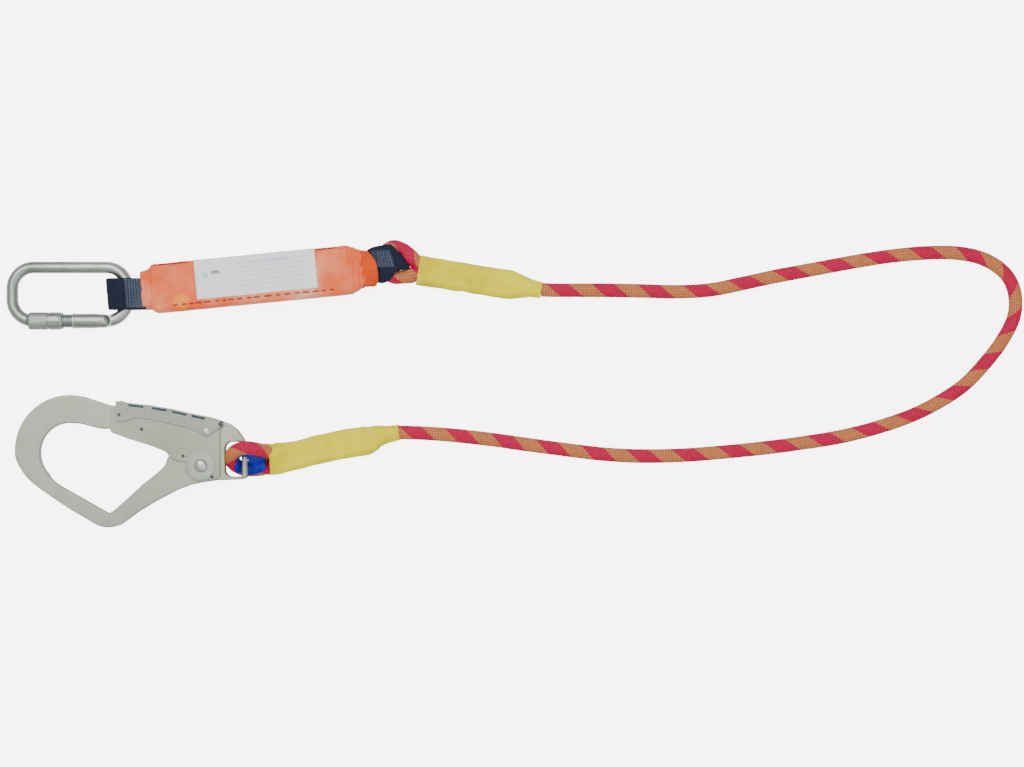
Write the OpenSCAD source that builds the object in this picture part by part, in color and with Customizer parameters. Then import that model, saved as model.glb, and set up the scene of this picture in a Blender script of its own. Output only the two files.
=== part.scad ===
// Shock absorbing lanyard lying flat: oval screw-gate carabiner, tear-webbing energy absorber,
// kernmantle rope with sewn eyes, and a self-closing scaffold hook.
// +X runs along the absorber, +Z is up, the object lies on z = 0.

/* [Carabiner] */
// Overall length
carabiner_len = 114; // [108:1:120]
// Overall width
carabiner_wid = 58.5; // [56:0.5:62]
// Diameter of the bent bar
bar_d = 10.5; // [10:0.5:11]
// Diameter of the screw sleeve
sleeve_d = 16; // [15:0.5:16]
// Travel of the screw sleeve along its thread
sleeve_travel = 8.5; // [6:0.5:9]

/* [Energy absorber] */
// Length of the folded pack
pack_len = 175; // [160:1:180]
// Width of the pack
pack_wid = 44; // [42:1:46]
// Thickness of the pack
pack_thk = 24; // [22:1:24]
// Number of folded plies of tear webbing
plies = 8; // [6:1:8]
// Wall of the clear cover
film = 0.6; // [0.4:0.1:0.8]
// Turn of the pack about the vertical, in degrees
pack_turn = 5.6; // [4:0.1:7]

/* [Rope] */
// Diameter of the rope
rope_d = 12; // [11:0.5:12]
// Wall of the shrink sleeves
shrink_wall = 0.8; // [0.6:0.1:1]
// Length of the shrink sleeve at the absorber
sleeve_a_len = 112; // [105:1:118]
// Length of the shrink sleeve at the hook
sleeve_h_len = 117; // [110:1:120]

/* [Hook] */
// Thickness of the hook's forged plate
plate_thk = 8; // [7:0.5:8]
// Inner radius of the hook's hoop
hoop_r = 26.7; // [25:0.1:27]
// Thickness of the gate's side plates
gate_wall = 1.7; // [1.4:0.1:1.8]
// Radius of the gate's hinge rivet
rivet_r = 4; // [3.5:0.25:4.5]

/* [Hidden] */

fit = 0.05;        // radial clearance of a running fit
gap = 0.3;         // clearance between pieces that pass each other
rope_r = rope_d / 2;

// ---- shared functions -------------------------------------------------------------------

// Point on a Catmull-Rom curve through four points
function spline_at(a, b, c, d, t) = 0.5 * (2 * b + (c - a) * t + (2 * a - 5 * b + 4 * c - d) * t * t
  + (3 * b - a - 3 * c + d) * t * t * t);
function clamp_at(pts, i) = pts[max(0, min(len(pts) - 1, i))];
// Smooth path through hand-placed points, with some steps between each two
function smooth(pts, steps) = [for (i = [0 : len(pts) - 2], s = [0 : steps - 1])
  spline_at(clamp_at(pts, i - 1), pts[i], pts[i + 1], clamp_at(pts, i + 2), s / steps),
  pts[len(pts) - 1]];
function unit(v) = v / norm(v);
function heading(path, i) = unit(clamp_at(path, i + 1) - clamp_at(path, i - 1));
// Sideways and upward directions of a ring across the path, both level with the floor's frame
function side_of(h) = unit(cross([0, 0, 1], h) + [0, 1e-6, 0]);
function ring_at(c, h, ra, rb, sides) = [for (k = [0 : sides - 1])
  let (a = 360 * (k + 0.5) / sides, s = side_of(h), u = cross(h, s))
  c + ra * cos(a) * s + rb * sin(a) * u];

// Closed tube of a round section along a path
module tube(path, r, sides = 10) {
  n = len(path);
  points = [for (i = [0 : n - 1]) each ring_at(path[i], heading(path, i), r, r, sides)];
  walls = [for (i = [0 : n - 2], k = [0 : sides - 1]) let (k2 = (k + 1) % sides)
    [i * sides + k, i * sides + k2, (i + 1) * sides + k2, (i + 1) * sides + k]];
  start_cap = [[for (k = [sides - 1 : -1 : 0]) k]];
  end_cap = [[for (k = [0 : sides - 1]) (n - 1) * sides + k]];
  polyhedron(points, [for (f = concat(start_cap, walls, end_cap)) [for (j = [len(f) - 1 : -1 : 0]) f[j]]]);
}

// Helical spring of round wire standing on z = 0
module coil(r, wire_r, turns, height, steps = 14, sides = 6) {
  path = [for (i = [0 : turns * steps])
    let (a = 360 * i / steps) [r * cos(a), r * sin(a), height * i / (turns * steps)]];
  n = len(path);
  points = [for (i = [0 : n - 1], k = [0 : sides - 1])
    let (a = 360 * i / steps, b = 360 * k / sides)
    path[i] + wire_r * (cos(b) * [cos(a), sin(a), 0] + sin(b) * [0, 0, 1])];
  walls = [for (i = [0 : n - 2], k = [0 : sides - 1]) let (k2 = (k + 1) % sides)
    [i * sides + k, i * sides + k2, (i + 1) * sides + k2, (i + 1) * sides + k]];
  caps = [[for (k = [sides - 1 : -1 : 0]) k], [for (k = [0 : sides - 1]) (n - 1) * sides + k]];
  polyhedron(points, concat(walls, caps));
}

// Points of an arc, from angle a0 to a1
function arc(c, r, a0, a1, n) = [for (i = [0 : n])
  let (a = a0 + (a1 - a0) * i / n) c + r * [cos(a), sin(a)]];

// ---- rope -------------------------------------------------------------------------------

// Free stretch of the rope, from one shrink sleeve to the other
rope_route = [[240, 85, 7], [252, 84.6, 6.4], [270, 84.6, 6], [300, 84.5, 6], [330, 84, 6],
  [362, 83.2, 6], [392, 85, 6], [420, 90.5, 6], [450, 97, 6], [485, 103.5, 6], [520, 110, 6],
  [552, 115, 6], [584, 118, 6], [612, 118, 6], [636, 113, 6], [655, 101, 6], [664.5, 84, 6],
  [664.5, 62, 6], [654, 40, 6], [639, 20, 6], [620, 0, 6], [598, -15, 6], [572, -28, 6],
  [540, -39, 6], [508, -47, 6], [474, -52.5, 6], [440, -57, 6], [400, -61, 6], [366, -63.5, 6],
  [330, -64.2, 6], [296, -62.5, 6], [262, -58.5, 6], [228, -54, 6], [196, -49.5, 6],
  [160, -45.5, 6], [132, -43.5, 6.2], [110, -43, 7]];

// Rope eye at the absorber: up one strand, round the bight and back along the other
eye_a_route = [[240, 85, 7], [232, 86.5, 7], [220, 90.5, 7], [200, 97.5, 7], [165, 103, 7],
  [140, 107, 7.4], [130.5, 110.5, 8], [122, 118.4, 9], [116, 122.6, 9.6], [108, 123.8, 10],
  [101, 120, 10.4], [97.6, 115, 10.4], [97, 110, 10.4], [97.6, 105, 10.4], [101, 100, 10.4],
  [108, 96.2, 10], [116, 95.6, 9.4], [128, 97, 8], [140, 95.2, 7.2], [165, 91, 7], [195, 85.6, 7],
  [212, 83, 7]];
bight_a = [97, 110, 10.4];

// Rope eye at the hook, tilted so that one strand passes over the hook's rim and one under it
eye_h_c = [-20.95, -66.4, 18.4];
eye_h_r = 16;
eye_h_tilt = 50;
function eye_h_at(a) = eye_h_c + eye_h_r * (cos(a) * [1, 0, 0]
  + sin(a) * [0, cos(eye_h_tilt), sin(eye_h_tilt)]);
eye_h_route = concat([[110, -43, 7], [102, -44.6, 7], [90, -44.6, 7], [70, -46, 7], [40, -52.4, 7],
  [20, -57.8, 8], [10, -59.6, 11.2], [2, -60.6, 16.5], [-6, -59.3, 23.5], [-13, -57.4, 28.6]],
  [for (a = [92 : 22 : 268]) eye_h_at(a)],
  [[-13, -76.3, 6.1], [-5, -74.6, 6.3], [4, -72.4, 6.6], [14, -70, 7], [26, -67.4, 7],
  [40, -64.4, 7], [64, -59.5, 7], [82, -56.2, 7]]);

module rope() {
  color("crimson") tube(rope_route, rope_r);
}

module rope_eye_absorber() {
  color("crimson") tube(smooth(eye_a_route, 2), rope_r, 12);
}

module rope_eye_hook() {
  color("crimson") tube(smooth(eye_h_route, 2), rope_r, 12);
}

// Thread that sews a strand to its own tail, hidden in the shrink sleeve
module splice_stitches(from, step, count, turn) {
  for (i = [0 : count - 1])
    translate(from + i * step) rotate([90, 0, turn]) cylinder(r = 0.7, h = 18, center = true, $fn = 16);
}

module splice_stitches_absorber() {
  color("gold") splice_stitches([150, 99.4, 7], [7, -1.12, 0], 6, -9);
}

module splice_stitches_hook() {
  color("gold") splice_stitches([32, -60, 7], [6, 1.25, 0], 6, 12);
}

// Shell shrunk over two strands. Each station is [centre, half the strands' spacing, roll]
function station_ring(st, h, r, sides) = let (s = side_of(h), u = cross(h, s),
  s2 = s * cos(st[2]) + u * sin(st[2]), u2 = u * cos(st[2]) - s * sin(st[2]))
  [for (k = [0 : sides - 1]) let (a = 360 * (k + 0.5) / sides)
    st[0] + (st[1] * sign(cos(a)) + r * cos(a)) * s2 + r * sin(a) * u2];

module shrink_sleeve(stations, sides = 16) {
  n = len(stations);
  centres = [for (st = stations) st[0]];
  inner_r = rope_r + 0.2;
  outer = [for (i = [0 : n - 1])
    each station_ring(stations[i], heading(centres, i), inner_r + shrink_wall, sides)];
  inner = [for (i = [0 : n - 1]) each station_ring(stations[i], heading(centres, i), inner_r, sides)];
  m = n * sides;
  faces = [for (i = [0 : n - 2], k = [0 : sides - 1]) let (k2 = (k + 1) % sides, a = i * sides)
    each [[a + k, a + sides + k, a + sides + k2, a + k2],
      [m + a + k, m + a + k2, m + a + sides + k2, m + a + sides + k]]];
  rims = [for (k = [0 : sides - 1]) let (k2 = (k + 1) % sides, e = (n - 1) * sides)
    each [[k, k2, m + k2, m + k], [e + k, m + e + k, m + e + k2, e + k2]]];
  polyhedron(concat(outer, inner), concat(faces, rims));
}

sleeve_a_from = [129.5, 102.6, 8];
sleeve_a_turn = -9.1;
function sleeve_a_at(d, z) = [sleeve_a_from[0] + d * cos(sleeve_a_turn),
  sleeve_a_from[1] + d * sin(sleeve_a_turn), z];
module shrink_sleeve_absorber() {
  color("yellow") shrink_sleeve([[sleeve_a_at(0, 8), 6.8, 0], [sleeve_a_at(12, 7.3), 6.2, 0],
    [sleeve_a_at(30, 7), 6, 0], [sleeve_a_at(60, 7), 6, 0], [sleeve_a_at(84, 7), 6.3, 0],
    [sleeve_a_at(94, 7), 3.4, 0], [sleeve_a_at(104, 7), 0.7, 0], [sleeve_a_at(sleeve_a_len, 7), 0.1, 0]]);
}

sleeve_h_end = [110, -43, 7];
module shrink_sleeve_hook() {
  x0 = sleeve_h_end[0] - (sleeve_h_len - 1.5) * cos(12);
  color("gold") shrink_sleeve([[[x0, -67, 13.7], 10.1, 46], [[2, -66.7, 11.5], 7.9, 39],
    [[10, -65.3, 9.1], 6.3, 22], [[20, -63.3, 7.6], 5.8, 6], [[30, -60.9, 7.1], 5.9, 1],
    [[40, -58.4, 7], 6, 0], [[66, -53, 7], 6.1, 0], [[84, -50.2, 7], 6, 0],
    [[93, -46.6, 7], 3.2, 0], [[102, -44.6, 7], 0.6, 0], [sleeve_h_end, 0.1, 0]]);
}

// Blue plastic thimble: a gutter round the inside of the rope eye, with two converging legs
// and a wide flange along its lower half
thimble_wall = 1.6;
thimble_half = 3.8;
module thimble() {
  bed = eye_h_r - rope_r;
  inside = bed - thimble_wall;
  color("mediumblue") translate(eye_h_c) rotate([eye_h_tilt, 0, 0]) {
    rotate([0, 0, 80]) rotate_extrude(angle = 200, $fn = 64)
      polygon([[inside, -thimble_half], [bed + 0.8, -thimble_half], [bed, -thimble_half + 0.9],
        [bed, thimble_half - 0.9], [bed + 0.8, thimble_half], [inside, thimble_half]]);
    for (side = [-1, 1]) translate([1.4, side * (inside + thimble_wall / 2), 0])
      rotate([0, 0, -side * 24]) translate([0, -thimble_wall / 2, -thimble_half])
        cube([14, thimble_wall, 2 * thimble_half]);
    rotate([0, 0, 190]) rotate_extrude(angle = 88, $fn = 64)
      polygon([[inside, 1], [bed, 1], [bed + 0.9, 4], [bed + 4.6, 6.1], [bed + 4.6, 7.1],
        [bed, 6], [inside, 3.6]]);
  }
}

// ---- energy absorber --------------------------------------------------------------------

pack_c = [-18, 94, 12];
end_l = [-100, 35, 14];      // crimped end at the carabiner: place, width, thickness
end_r = [103, 33, 14];       // crimped end at the rope
module in_pack() { translate(pack_c) rotate([0, 0, pack_turn]) children(); }
// Rounded slab across the pack at place u
module slab(u, w, t, len, r) {
  translate([u, 0, 0]) rotate([90, 0, 90]) linear_extrude(len)
    offset(r = r, $fn = 24) square([w - 2 * r, t - 2 * r], center = true);
}
module cover_form(inset, past) {
  half = pack_len / 2;
  slab(-half, pack_wid - 2 * inset, pack_thk - 2 * inset, pack_len, 5 - inset);
  hull() {
    slab(-half, pack_wid - 2 * inset, pack_thk - 2 * inset, 0.1, 5 - inset);
    slab(end_l[0] - past, end_l[1] - 2 * inset, end_l[2] - 2 * inset, 4, 4 - inset);
  }
  hull() {
    slab(half - 0.1, pack_wid - 2 * inset, pack_thk - 2 * inset, 0.1, 5 - inset);
    slab(end_r[0] - 4 + past, end_r[1] - 2 * inset, end_r[2] - 2 * inset, 4, 4 - inset);
  }
}

module absorber_cover() {
  color("lightsalmon") in_pack() difference() {
    cover_form(0, 0);
    cover_form(film, 1);
  }
}

// Tear webbing folded to and fro on itself
module tear_webbing() {
  ply = 2.1;
  pitch = 2.4;
  run = pack_len - 18;
  width = pack_wid - 5;
  color("orangered") in_pack() translate([0, width / 2, -plies * pitch / 2]) rotate([90, 0, 0])
    linear_extrude(width) union() {
      for (i = [0 : plies - 1]) translate([-run / 2, i * pitch]) square([run, ply]);
      for (i = [0 : plies - 2]) translate([i % 2 == 0 ? run / 2 - ply : -run / 2, i * pitch])
        square([ply, pitch + ply]);
    }
}

// Sewn end of the tear webbing, at the rope's side
module webbing_end() {
  color("darkorange") in_pack() translate([91, -15, -6.1]) cube([8.5, 28, 2.2]);
}

module strap_loop(width, y_mid) {
  translate([0, y_mid + width / 2, 0]) rotate([90, 0, 0]) linear_extrude(width) children();
}
module disc_at(x, z, r) { translate([x, z]) circle(r, $fn = 48); }

// Navy loop round the carabiner's end bar
strap = 2.1;
module anchor_loop_outline() {
  hull() {
    disc_at(-141.5, 9, 8.2);
    disc_at(-130.75, 10.9, 8.3);
    disc_at(-130.75, 8.4, 8.3);
    disc_at(-110, 12, 2.3);
  }
}
module anchor_loop() {
  color("midnightblue") strap_loop(28, 81) difference() {
    anchor_loop_outline();
    offset(delta = -strap) anchor_loop_outline();
  }
}

module threads(xs, ys, z0, z1) {
  for (x = xs, y = ys) translate([x, y, z0]) cylinder(r = 0.5, h = z1 - z0, $fn = 16);
}
module anchor_loop_stitching() {
  color("lightsteelblue") threads([-114.5, -111.5], [71 : 5 : 91], 7.5, 16);
}

// Navy loop through the rope eye, narrower where it passes through the eye
loop_half = 10.3;
module rope_loop_outline() {
  hull() {
    disc_at(bight_a[0], bight_a[2], loop_half - 0.1);
    disc_at(107.8, bight_a[2], 8.2);
    disc_at(80, 14, 2.2);
  }
}
module rope_loop_ring() {
  difference() {
    rope_loop_outline();
    offset(delta = -2) rope_loop_outline();
  }
}
module rope_loop() {
  color("midnightblue") union() {
    strap_loop(11, 109.2) rope_loop_ring();
    strap_loop(22, 107) intersection() {
      rope_loop_ring();
      translate([60, -10]) square([30, 50]);
    }
  }
}
module rope_loop_stitching() {
  color("lightsteelblue") threads([79.5, 82], [98 : 5 : 116], 11, 17);
}

module label() {
  color("whitesmoke") in_pack() translate([2 - 54, 3 - 18, pack_thk / 2]) cube([108, 36, 0.25]);
}

// ---- carabiner, in its own frame: centre of the oval, gate along -Y ----------------------

carabiner_c = [-182.5, 81, 8];
bar_r = bar_d / 2;
half_l = carabiner_len / 2 - bar_r;
half_w = carabiner_wid / 2 - bar_r;
corner_r = 19;
gate_r = 6.5;
core_r = 6;
pivot_x = 30;
nose_x = -38.3;
gate_tip_x = -37;
barrel_x = 3;
tang = 4;
hinge_pin_r = 1.6;
swing_x = carabiner_c[0] + half_l;
module in_carabiner() { translate(carabiner_c) children(); }
module bar_corner(x, y, from, sweep = 90) {
  translate([x, y, 0]) rotate([0, 0, from]) rotate_extrude(angle = sweep, $fn = 96)
    translate([corner_r, 0]) circle(bar_r, $fn = 48);
}
module bar_x(x0, x1, y, r) {
  translate([x0, y, 0]) rotate([0, 90, 0]) cylinder(r = r, h = x1 - x0, $fn = 48);
}
module bar_y(x, y0, y1, r) {
  translate([x, y0, 0]) rotate([-90, 0, 0]) cylinder(r = r, h = y1 - y0, $fn = 48);
}

module carabiner_body() {
  cx = half_l - corner_r;
  cy = half_w - corner_r;
  color("silver") in_carabiner() difference() {
    union() {
      bar_x(-cx, cx, half_w, bar_r);
      bar_y(-half_l, -cy, cy, bar_r);
      bar_y(half_l, -cy, cy, bar_r);
      bar_corner(cx, cy, 0);
      bar_corner(-cx, cy, 90);
      difference() {
        bar_corner(-cx, -cy, 180);
        translate([nose_x, -60, -10]) cube([20, 60, 20]);
      }
      difference() {
        bar_corner(cx, -cy, 270);
        translate([0, -60, tang / 2]) cube([37.4, 60, 20]);
        translate([0, -60, -20 - tang / 2]) cube([37.4, 60, 20]);
      }
      translate([pivot_x, -half_w, -tang / 2]) cylinder(r = 5, h = tang, $fn = 48);
      translate([pivot_x, -half_w - 5, -tang / 2]) cube([5, 10, tang]);
    }
    translate([pivot_x, -half_w, -10]) cylinder(r = hinge_pin_r + fit, h = 20, $fn = 48);
  }
}

plunger_r = 2.4;
well_x0 = 7;
module carabiner_gate() {
  color("lightgray") in_carabiner() difference() {
    union() {
      bar_x(gate_tip_x, barrel_x, -half_w, core_r - 0.25);
      for (x = [-6 : 1.5 : 1.5]) bar_x(x, x + 0.75, -half_w, core_r);
      bar_x(gate_tip_x, -34, -half_w, core_r);
      bar_x(barrel_x, pivot_x, -half_w, gate_r);
      translate([pivot_x, -half_w, 0]) sphere(gate_r, $fn = 64);
    }
    translate([24, -half_w - 10, -tang / 2 - 0.2]) cube([20, 20, tang + 0.4]);
    translate([pivot_x, -half_w, -10]) cylinder(r = hinge_pin_r, h = 20, $fn = 48);
    bar_x(well_x0, 25, -half_w, plunger_r + fit);
  }
}

module carabiner_sleeve() {
  color("gainsboro") in_carabiner() difference() {
    union() {
      bar_x(gate_tip_x, gate_tip_x + 30.5, -half_w, sleeve_d / 2 - 0.4);
      bar_x(gate_tip_x + 1.5, gate_tip_x + 18, -half_w, sleeve_d / 2);
      bar_x(gate_tip_x + 21, gate_tip_x + 29, -half_w, sleeve_d / 2);
    }
    bar_x(gate_tip_x - 1, gate_tip_x + 32, -half_w, core_r + fit);
  }
}

module carabiner_hinge_pin() {
  color("dimgray") in_carabiner() translate([pivot_x, -half_w, -6]) cylinder(r = hinge_pin_r, h = 12, $fn = 48);
}

module carabiner_plunger() {
  color("dimgray") in_carabiner() bar_x(18.5, 24.6, -half_w, plunger_r);
}

module carabiner_spring() {
  color("gray") in_carabiner() translate([well_x0 + 0.6, -half_w, 0]) rotate([0, 90, 0])
    coil(1.9, 0.35, 6, 10.6, 10, 6);
}

// ---- hook, in its own flat frame: centre of the hoop, plate's middle at z = 0 -------------

rim_x = 158.4;               // rim of the rope eye, the hook's swing axis
rim_r = 2.8;
rim_at = [-24.75, -59.85, 18.4];
hoop_out = 49.5;
half_plate = plate_thk / 2;
hook_tilt = asin((rim_at[2] - half_plate) / (rim_x + hoop_out - 0.3));
gate_pivot = [120, -12.5];
gate_in = half_plate + gap;
gate_out = gate_in + gate_wall;
nose_reach = 88.5;             // radius of the nose's end about the gate's pivot
lever_pivot = [125, 18];
lever_pin_r = 2;
eye_hole = [[139.6, -22.3], [155.6, 8.6]];
eye_corner = 6;
module in_hook() {
  translate(rim_at) rotate([0, -hook_tilt, 0]) translate([-rim_x, 0, 0]) children();
}
// Upright prism between two heights
module plate(z0, z1) { translate([0, 0, z0]) linear_extrude(z1 - z0) children(); }
module both_sides() { for (flip = [0, 1]) mirror([0, 0, flip]) children(); }

module hook_outline() {
  polygon(concat(arc([0.5, 0.5], 50, 88, 186, 30), [[-47.8, -9.4], [-45.6, -13.8], [-42.6, -18.6],
    [-39, -23.2], [-34.4, -27.8], [-27, -33.6], [1, -52.2], [26, -66.6],
    [33.5, -68], [42, -67.4], [49.5, -64.4], [63, -54], [78, -45], [97, -35], [109, -30.3],
    [122.4, -27.4], [136, -25.5], [156, -25], [160.4, -22.5], [161.2, -18], [161.2, 4],
    [157.5, 12.6], [152.6, 19.2], [146.5, 24], [140.4, 26], [137, 24.5], [133, 14.9],
    [122.4, 14.7], [112.5, 12.9], [103.5, 8.6], [95.4, 1.8], [89.8, -4.7], [86.9, -12.2],
    [79.2, -19.6], [67.5, -28.6], [49.5, -45], [36, -55.4], [10, -41.1], [-8, -31.1],
    [-13.6, -27.3], [-17.2, -23.8]], arc([0, -1.5], hoop_r, 225, 84, 38), [[10.5, 24.6], [24.1, 21.1], [36.9, 19.4], [50, 19.4],
    [50, 38.5], [37, 41.2], [26.1, 44.6], [12.1, 49.1]]));
}

// Opening for the rope eye, with two round corners
module eye_cut() {
  x = eye_hole[0][0] + eye_corner;
  hull() {
    translate([x, eye_hole[0][1] + eye_corner]) circle(eye_corner, $fn = 48);
    translate([x, eye_hole[1][1] - eye_corner]) circle(eye_corner, $fn = 48);
    translate([x, eye_hole[0][1]]) square([rim_x + 6 - x, eye_hole[1][1] - eye_hole[0][1]]);
  }
}

module hook_body() {
  cut = 40;
  color("darkseagreen") in_hook() difference() {
    union() {
      difference() {
        plate(-half_plate, half_plate) hook_outline();
        translate([0, -1.5, -cut / 2]) cylinder(r = hoop_r, h = cut, $fn = 96);
        intersection() {
          translate([gate_pivot[0], gate_pivot[1], -cut / 2]) cylinder(r = nose_reach, h = cut, $fn = 180);
          translate([30, 15, -cut / 2]) cube([30, 40, cut]);
        }
        translate([0, 0, -cut / 2]) linear_extrude(cut) eye_cut();
      }
      translate([rim_x, eye_hole[0][1] - 1, 0]) rotate([-90, 0, 0])
        cylinder(r = rim_r, h = eye_hole[1][1] - eye_hole[0][1] + 2, $fn = 48);
    }
    translate([gate_pivot[0], gate_pivot[1], -cut / 2]) cylinder(r = rivet_r + fit, h = cut, $fn = 48);
    translate([gate_pivot[0], gate_pivot[1], 0]) cylinder(r = 8.5, h = cut, $fn = 48);
  }
}

module gate_side() {
  polygon([[37.8, 17.4], [53, 11.7], [72.5, 5.8], [88.4, -0.3], [93, -6.3], [107.5, -9.9],
    [107.5, -20], [112, -25.2], [120.6, -27.6], [130, -26.2], [137, -22], [137, 21], [118, 25.5],
    [85, 32], [48, 38.4], [37.8, 38.8]]);
}
module hook_gate() {
  color("darkgray") in_hook() difference() {
    union() {
      both_sides() plate(gate_in, gate_out) gate_side();
      plate(-gate_in, gate_in) polygon([[38.2, 17.2], [53, 11.7], [72.5, 5.8], [84.6, 1.2],
        [84.6, 3.1], [72.5, 7.7], [53, 13.6], [38.2, 19]]);
    }
    translate([gate_pivot[0], gate_pivot[1], -20]) cylinder(r = rivet_r, h = 40, $fn = 48);
    translate([lever_pivot[0], lever_pivot[1], -20]) cylinder(r = lever_pin_r, h = 40, $fn = 48);
    for (p = anchor_at) translate([p[0], p[1], -20]) cylinder(r = 1.5, h = 40, $fn = 32);
    translate([latch_at[0] - 2, latch_at[1] - 5.5, -20]) cube([4, 20, 40]);
  }
}

washer_r = 12.5;
module gate_rivet() {
  color("white") in_hook() translate([gate_pivot[0], gate_pivot[1], 0]) {
    cylinder(r = rivet_r, h = 2 * gate_out + 1.6, center = true, $fn = 48);
    both_sides() translate([0, 0, gate_out + 0.8]) cylinder(r1 = 6, r2 = 4.6, h = 1.2, $fn = 48);
  }
}

module hinge_washers() {
  color("silver") in_hook() translate([gate_pivot[0], gate_pivot[1], 0]) both_sides()
    translate([0, 0, gate_out]) difference() {
      cylinder(r = washer_r, h = 0.8, $fn = 64);
      translate([0, 0, -1]) cylinder(r = rivet_r, h = 3, $fn = 48);
    }
}

module gate_spring() {
  color("gray") in_hook() translate([gate_pivot[0], gate_pivot[1], 0.7]) coil(6.2, 0.5, 2, 2.4, 20, 6);
}

// Short pins that hold the springs, riveted into the gate's sides
anchor_at = [[104, -3.8], [66.5, 20], [130, -22.5]];
module spring_anchor_pins() {
  color("dimgray") in_hook() for (p = anchor_at) translate([p[0], p[1], 0]) both_sides()
    translate([0, 0, gate_in]) cylinder(r = 1.5, h = gate_wall + 0.6, $fn = 32);
}

// Cross pin that stands behind the nose, carried by the lever
latch_at = [46.4, 33];
module latch_pin() {
  color("dimgray") in_hook() translate([latch_at[0], latch_at[1], 0])
    cylinder(r = 1.4, h = 2 * lever_out + 1, center = true, $fn = 32);
}

// Squeeze lever: a cap over the gate's open side, with a flange down each side
lever_in = gate_out + gap;
lever_out = lever_in + 1.2;
module lever_side() {
  polygon([[43, 45.8], [51, 43.6], [70, 41.6], [92, 38], [108, 34.3], [127, 30.6], [139, 26.8],
    [139.6, 23], [131, 17], [125, 13.8], [119, 15.5], [112, 20.5], [85, 26.5], [62, 30.6],
    [52, 26.6], [43, 26.6]]);
}
module lever_cap() {
  polygon([[52, 43.5], [70, 41.6], [92, 38], [108, 34.3], [127, 30.6], [136, 27.8],
    [136, 26.3], [127, 29.1], [108, 32.8], [92, 36.5], [70, 40.1], [52, 42]]);
}
module lock_lever() {
  color("lightslategray") in_hook() difference() {
    union() {
      both_sides() plate(lever_in, lever_out) lever_side();
      plate(-lever_in, lever_in) lever_cap();
    }
    translate([lever_pivot[0], lever_pivot[1], -20]) cylinder(r = lever_pin_r + fit, h = 40, $fn = 48);
    translate([latch_at[0], latch_at[1], -20]) cylinder(r = 1.4, h = 40, $fn = 32);
  }
}

module lever_pin() {
  color("dimgray") in_hook() translate([lever_pivot[0], lever_pivot[1], 0])
    cylinder(r = lever_pin_r, h = 2 * lever_out + 0.8, center = true, $fn = 48);
}

module lever_spring() {
  color("gray") in_hook() translate([78, 7.4, 0]) rotate([-90, 0, 0]) coil(2.4, 0.45, 8, 29, 14, 6);
}

rope();
rope_eye_absorber();
rope_eye_hook();
splice_stitches_absorber();
splice_stitches_hook();
shrink_sleeve_absorber();
shrink_sleeve_hook();
thimble();
absorber_cover();
tear_webbing();
webbing_end();
anchor_loop();
anchor_loop_stitching();
rope_loop();
rope_loop_stitching();
label();
carabiner_body();
carabiner_gate();
carabiner_sleeve();
carabiner_hinge_pin();
carabiner_plunger();
carabiner_spring();
hook_body();
hook_gate();
gate_rivet();
hinge_washers();
gate_spring();
spring_anchor_pins();
latch_pin();
lock_lever();
lever_pin();
lever_spring();
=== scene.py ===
import math

import bmesh
import bpy
import numpy as np
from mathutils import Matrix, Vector


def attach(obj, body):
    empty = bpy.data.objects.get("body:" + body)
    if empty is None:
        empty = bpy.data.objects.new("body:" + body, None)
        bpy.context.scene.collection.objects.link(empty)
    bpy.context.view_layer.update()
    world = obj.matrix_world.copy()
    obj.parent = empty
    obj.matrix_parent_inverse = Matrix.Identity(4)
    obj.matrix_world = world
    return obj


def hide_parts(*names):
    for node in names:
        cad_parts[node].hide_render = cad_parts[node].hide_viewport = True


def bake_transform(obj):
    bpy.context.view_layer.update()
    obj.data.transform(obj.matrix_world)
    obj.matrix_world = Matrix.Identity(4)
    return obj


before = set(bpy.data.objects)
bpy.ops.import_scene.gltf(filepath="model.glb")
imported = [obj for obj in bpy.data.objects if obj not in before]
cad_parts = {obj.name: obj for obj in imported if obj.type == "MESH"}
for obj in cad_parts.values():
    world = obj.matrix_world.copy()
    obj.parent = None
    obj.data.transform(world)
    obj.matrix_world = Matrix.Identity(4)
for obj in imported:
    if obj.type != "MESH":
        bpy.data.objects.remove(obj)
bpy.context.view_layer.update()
MM = 0.001
UP = np.array([0.0, 0.0, 1.0])


# ---- camera: straight above, +Y at the top ------------------------------------------------

LENS_MM = 85
SENSOR_MM = 36
VIEW_WIDTH = 0.9216
VIEW_CENTRE = (0.21375, 0.0009)


def make_camera():
    data = bpy.data.cameras.new("camera")
    data.lens = LENS_MM
    data.sensor_width = SENSOR_MM
    camera = linked("camera", data)
    camera.location = (*VIEW_CENTRE, VIEW_WIDTH * LENS_MM / SENSOR_MM)
    bpy.context.scene.camera = camera


# ---- mesh helpers -------------------------------------------------------------------------

def linked(name, data):
    """A new object that shows some data, put in the scene."""
    obj = bpy.data.objects.new(name, data)
    bpy.context.scene.collection.objects.link(obj)
    return obj


def link_mesh(name, verts, faces, uvs=None, smooth=True):
    """A new mesh object from points in metres, with one UV pair per face corner."""
    mesh = bpy.data.meshes.new(name)
    mesh.from_pydata([tuple(v) for v in verts], [], [tuple(int(i) for i in f) for f in faces])
    if uvs is not None:
        layer = mesh.uv_layers.new(name="UVMap")
        layer.data.foreach_set("uv", np.asarray(uvs, float).ravel())
    mesh.update()
    if smooth:
        mesh.shade_smooth()
    return linked(name, mesh)


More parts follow.
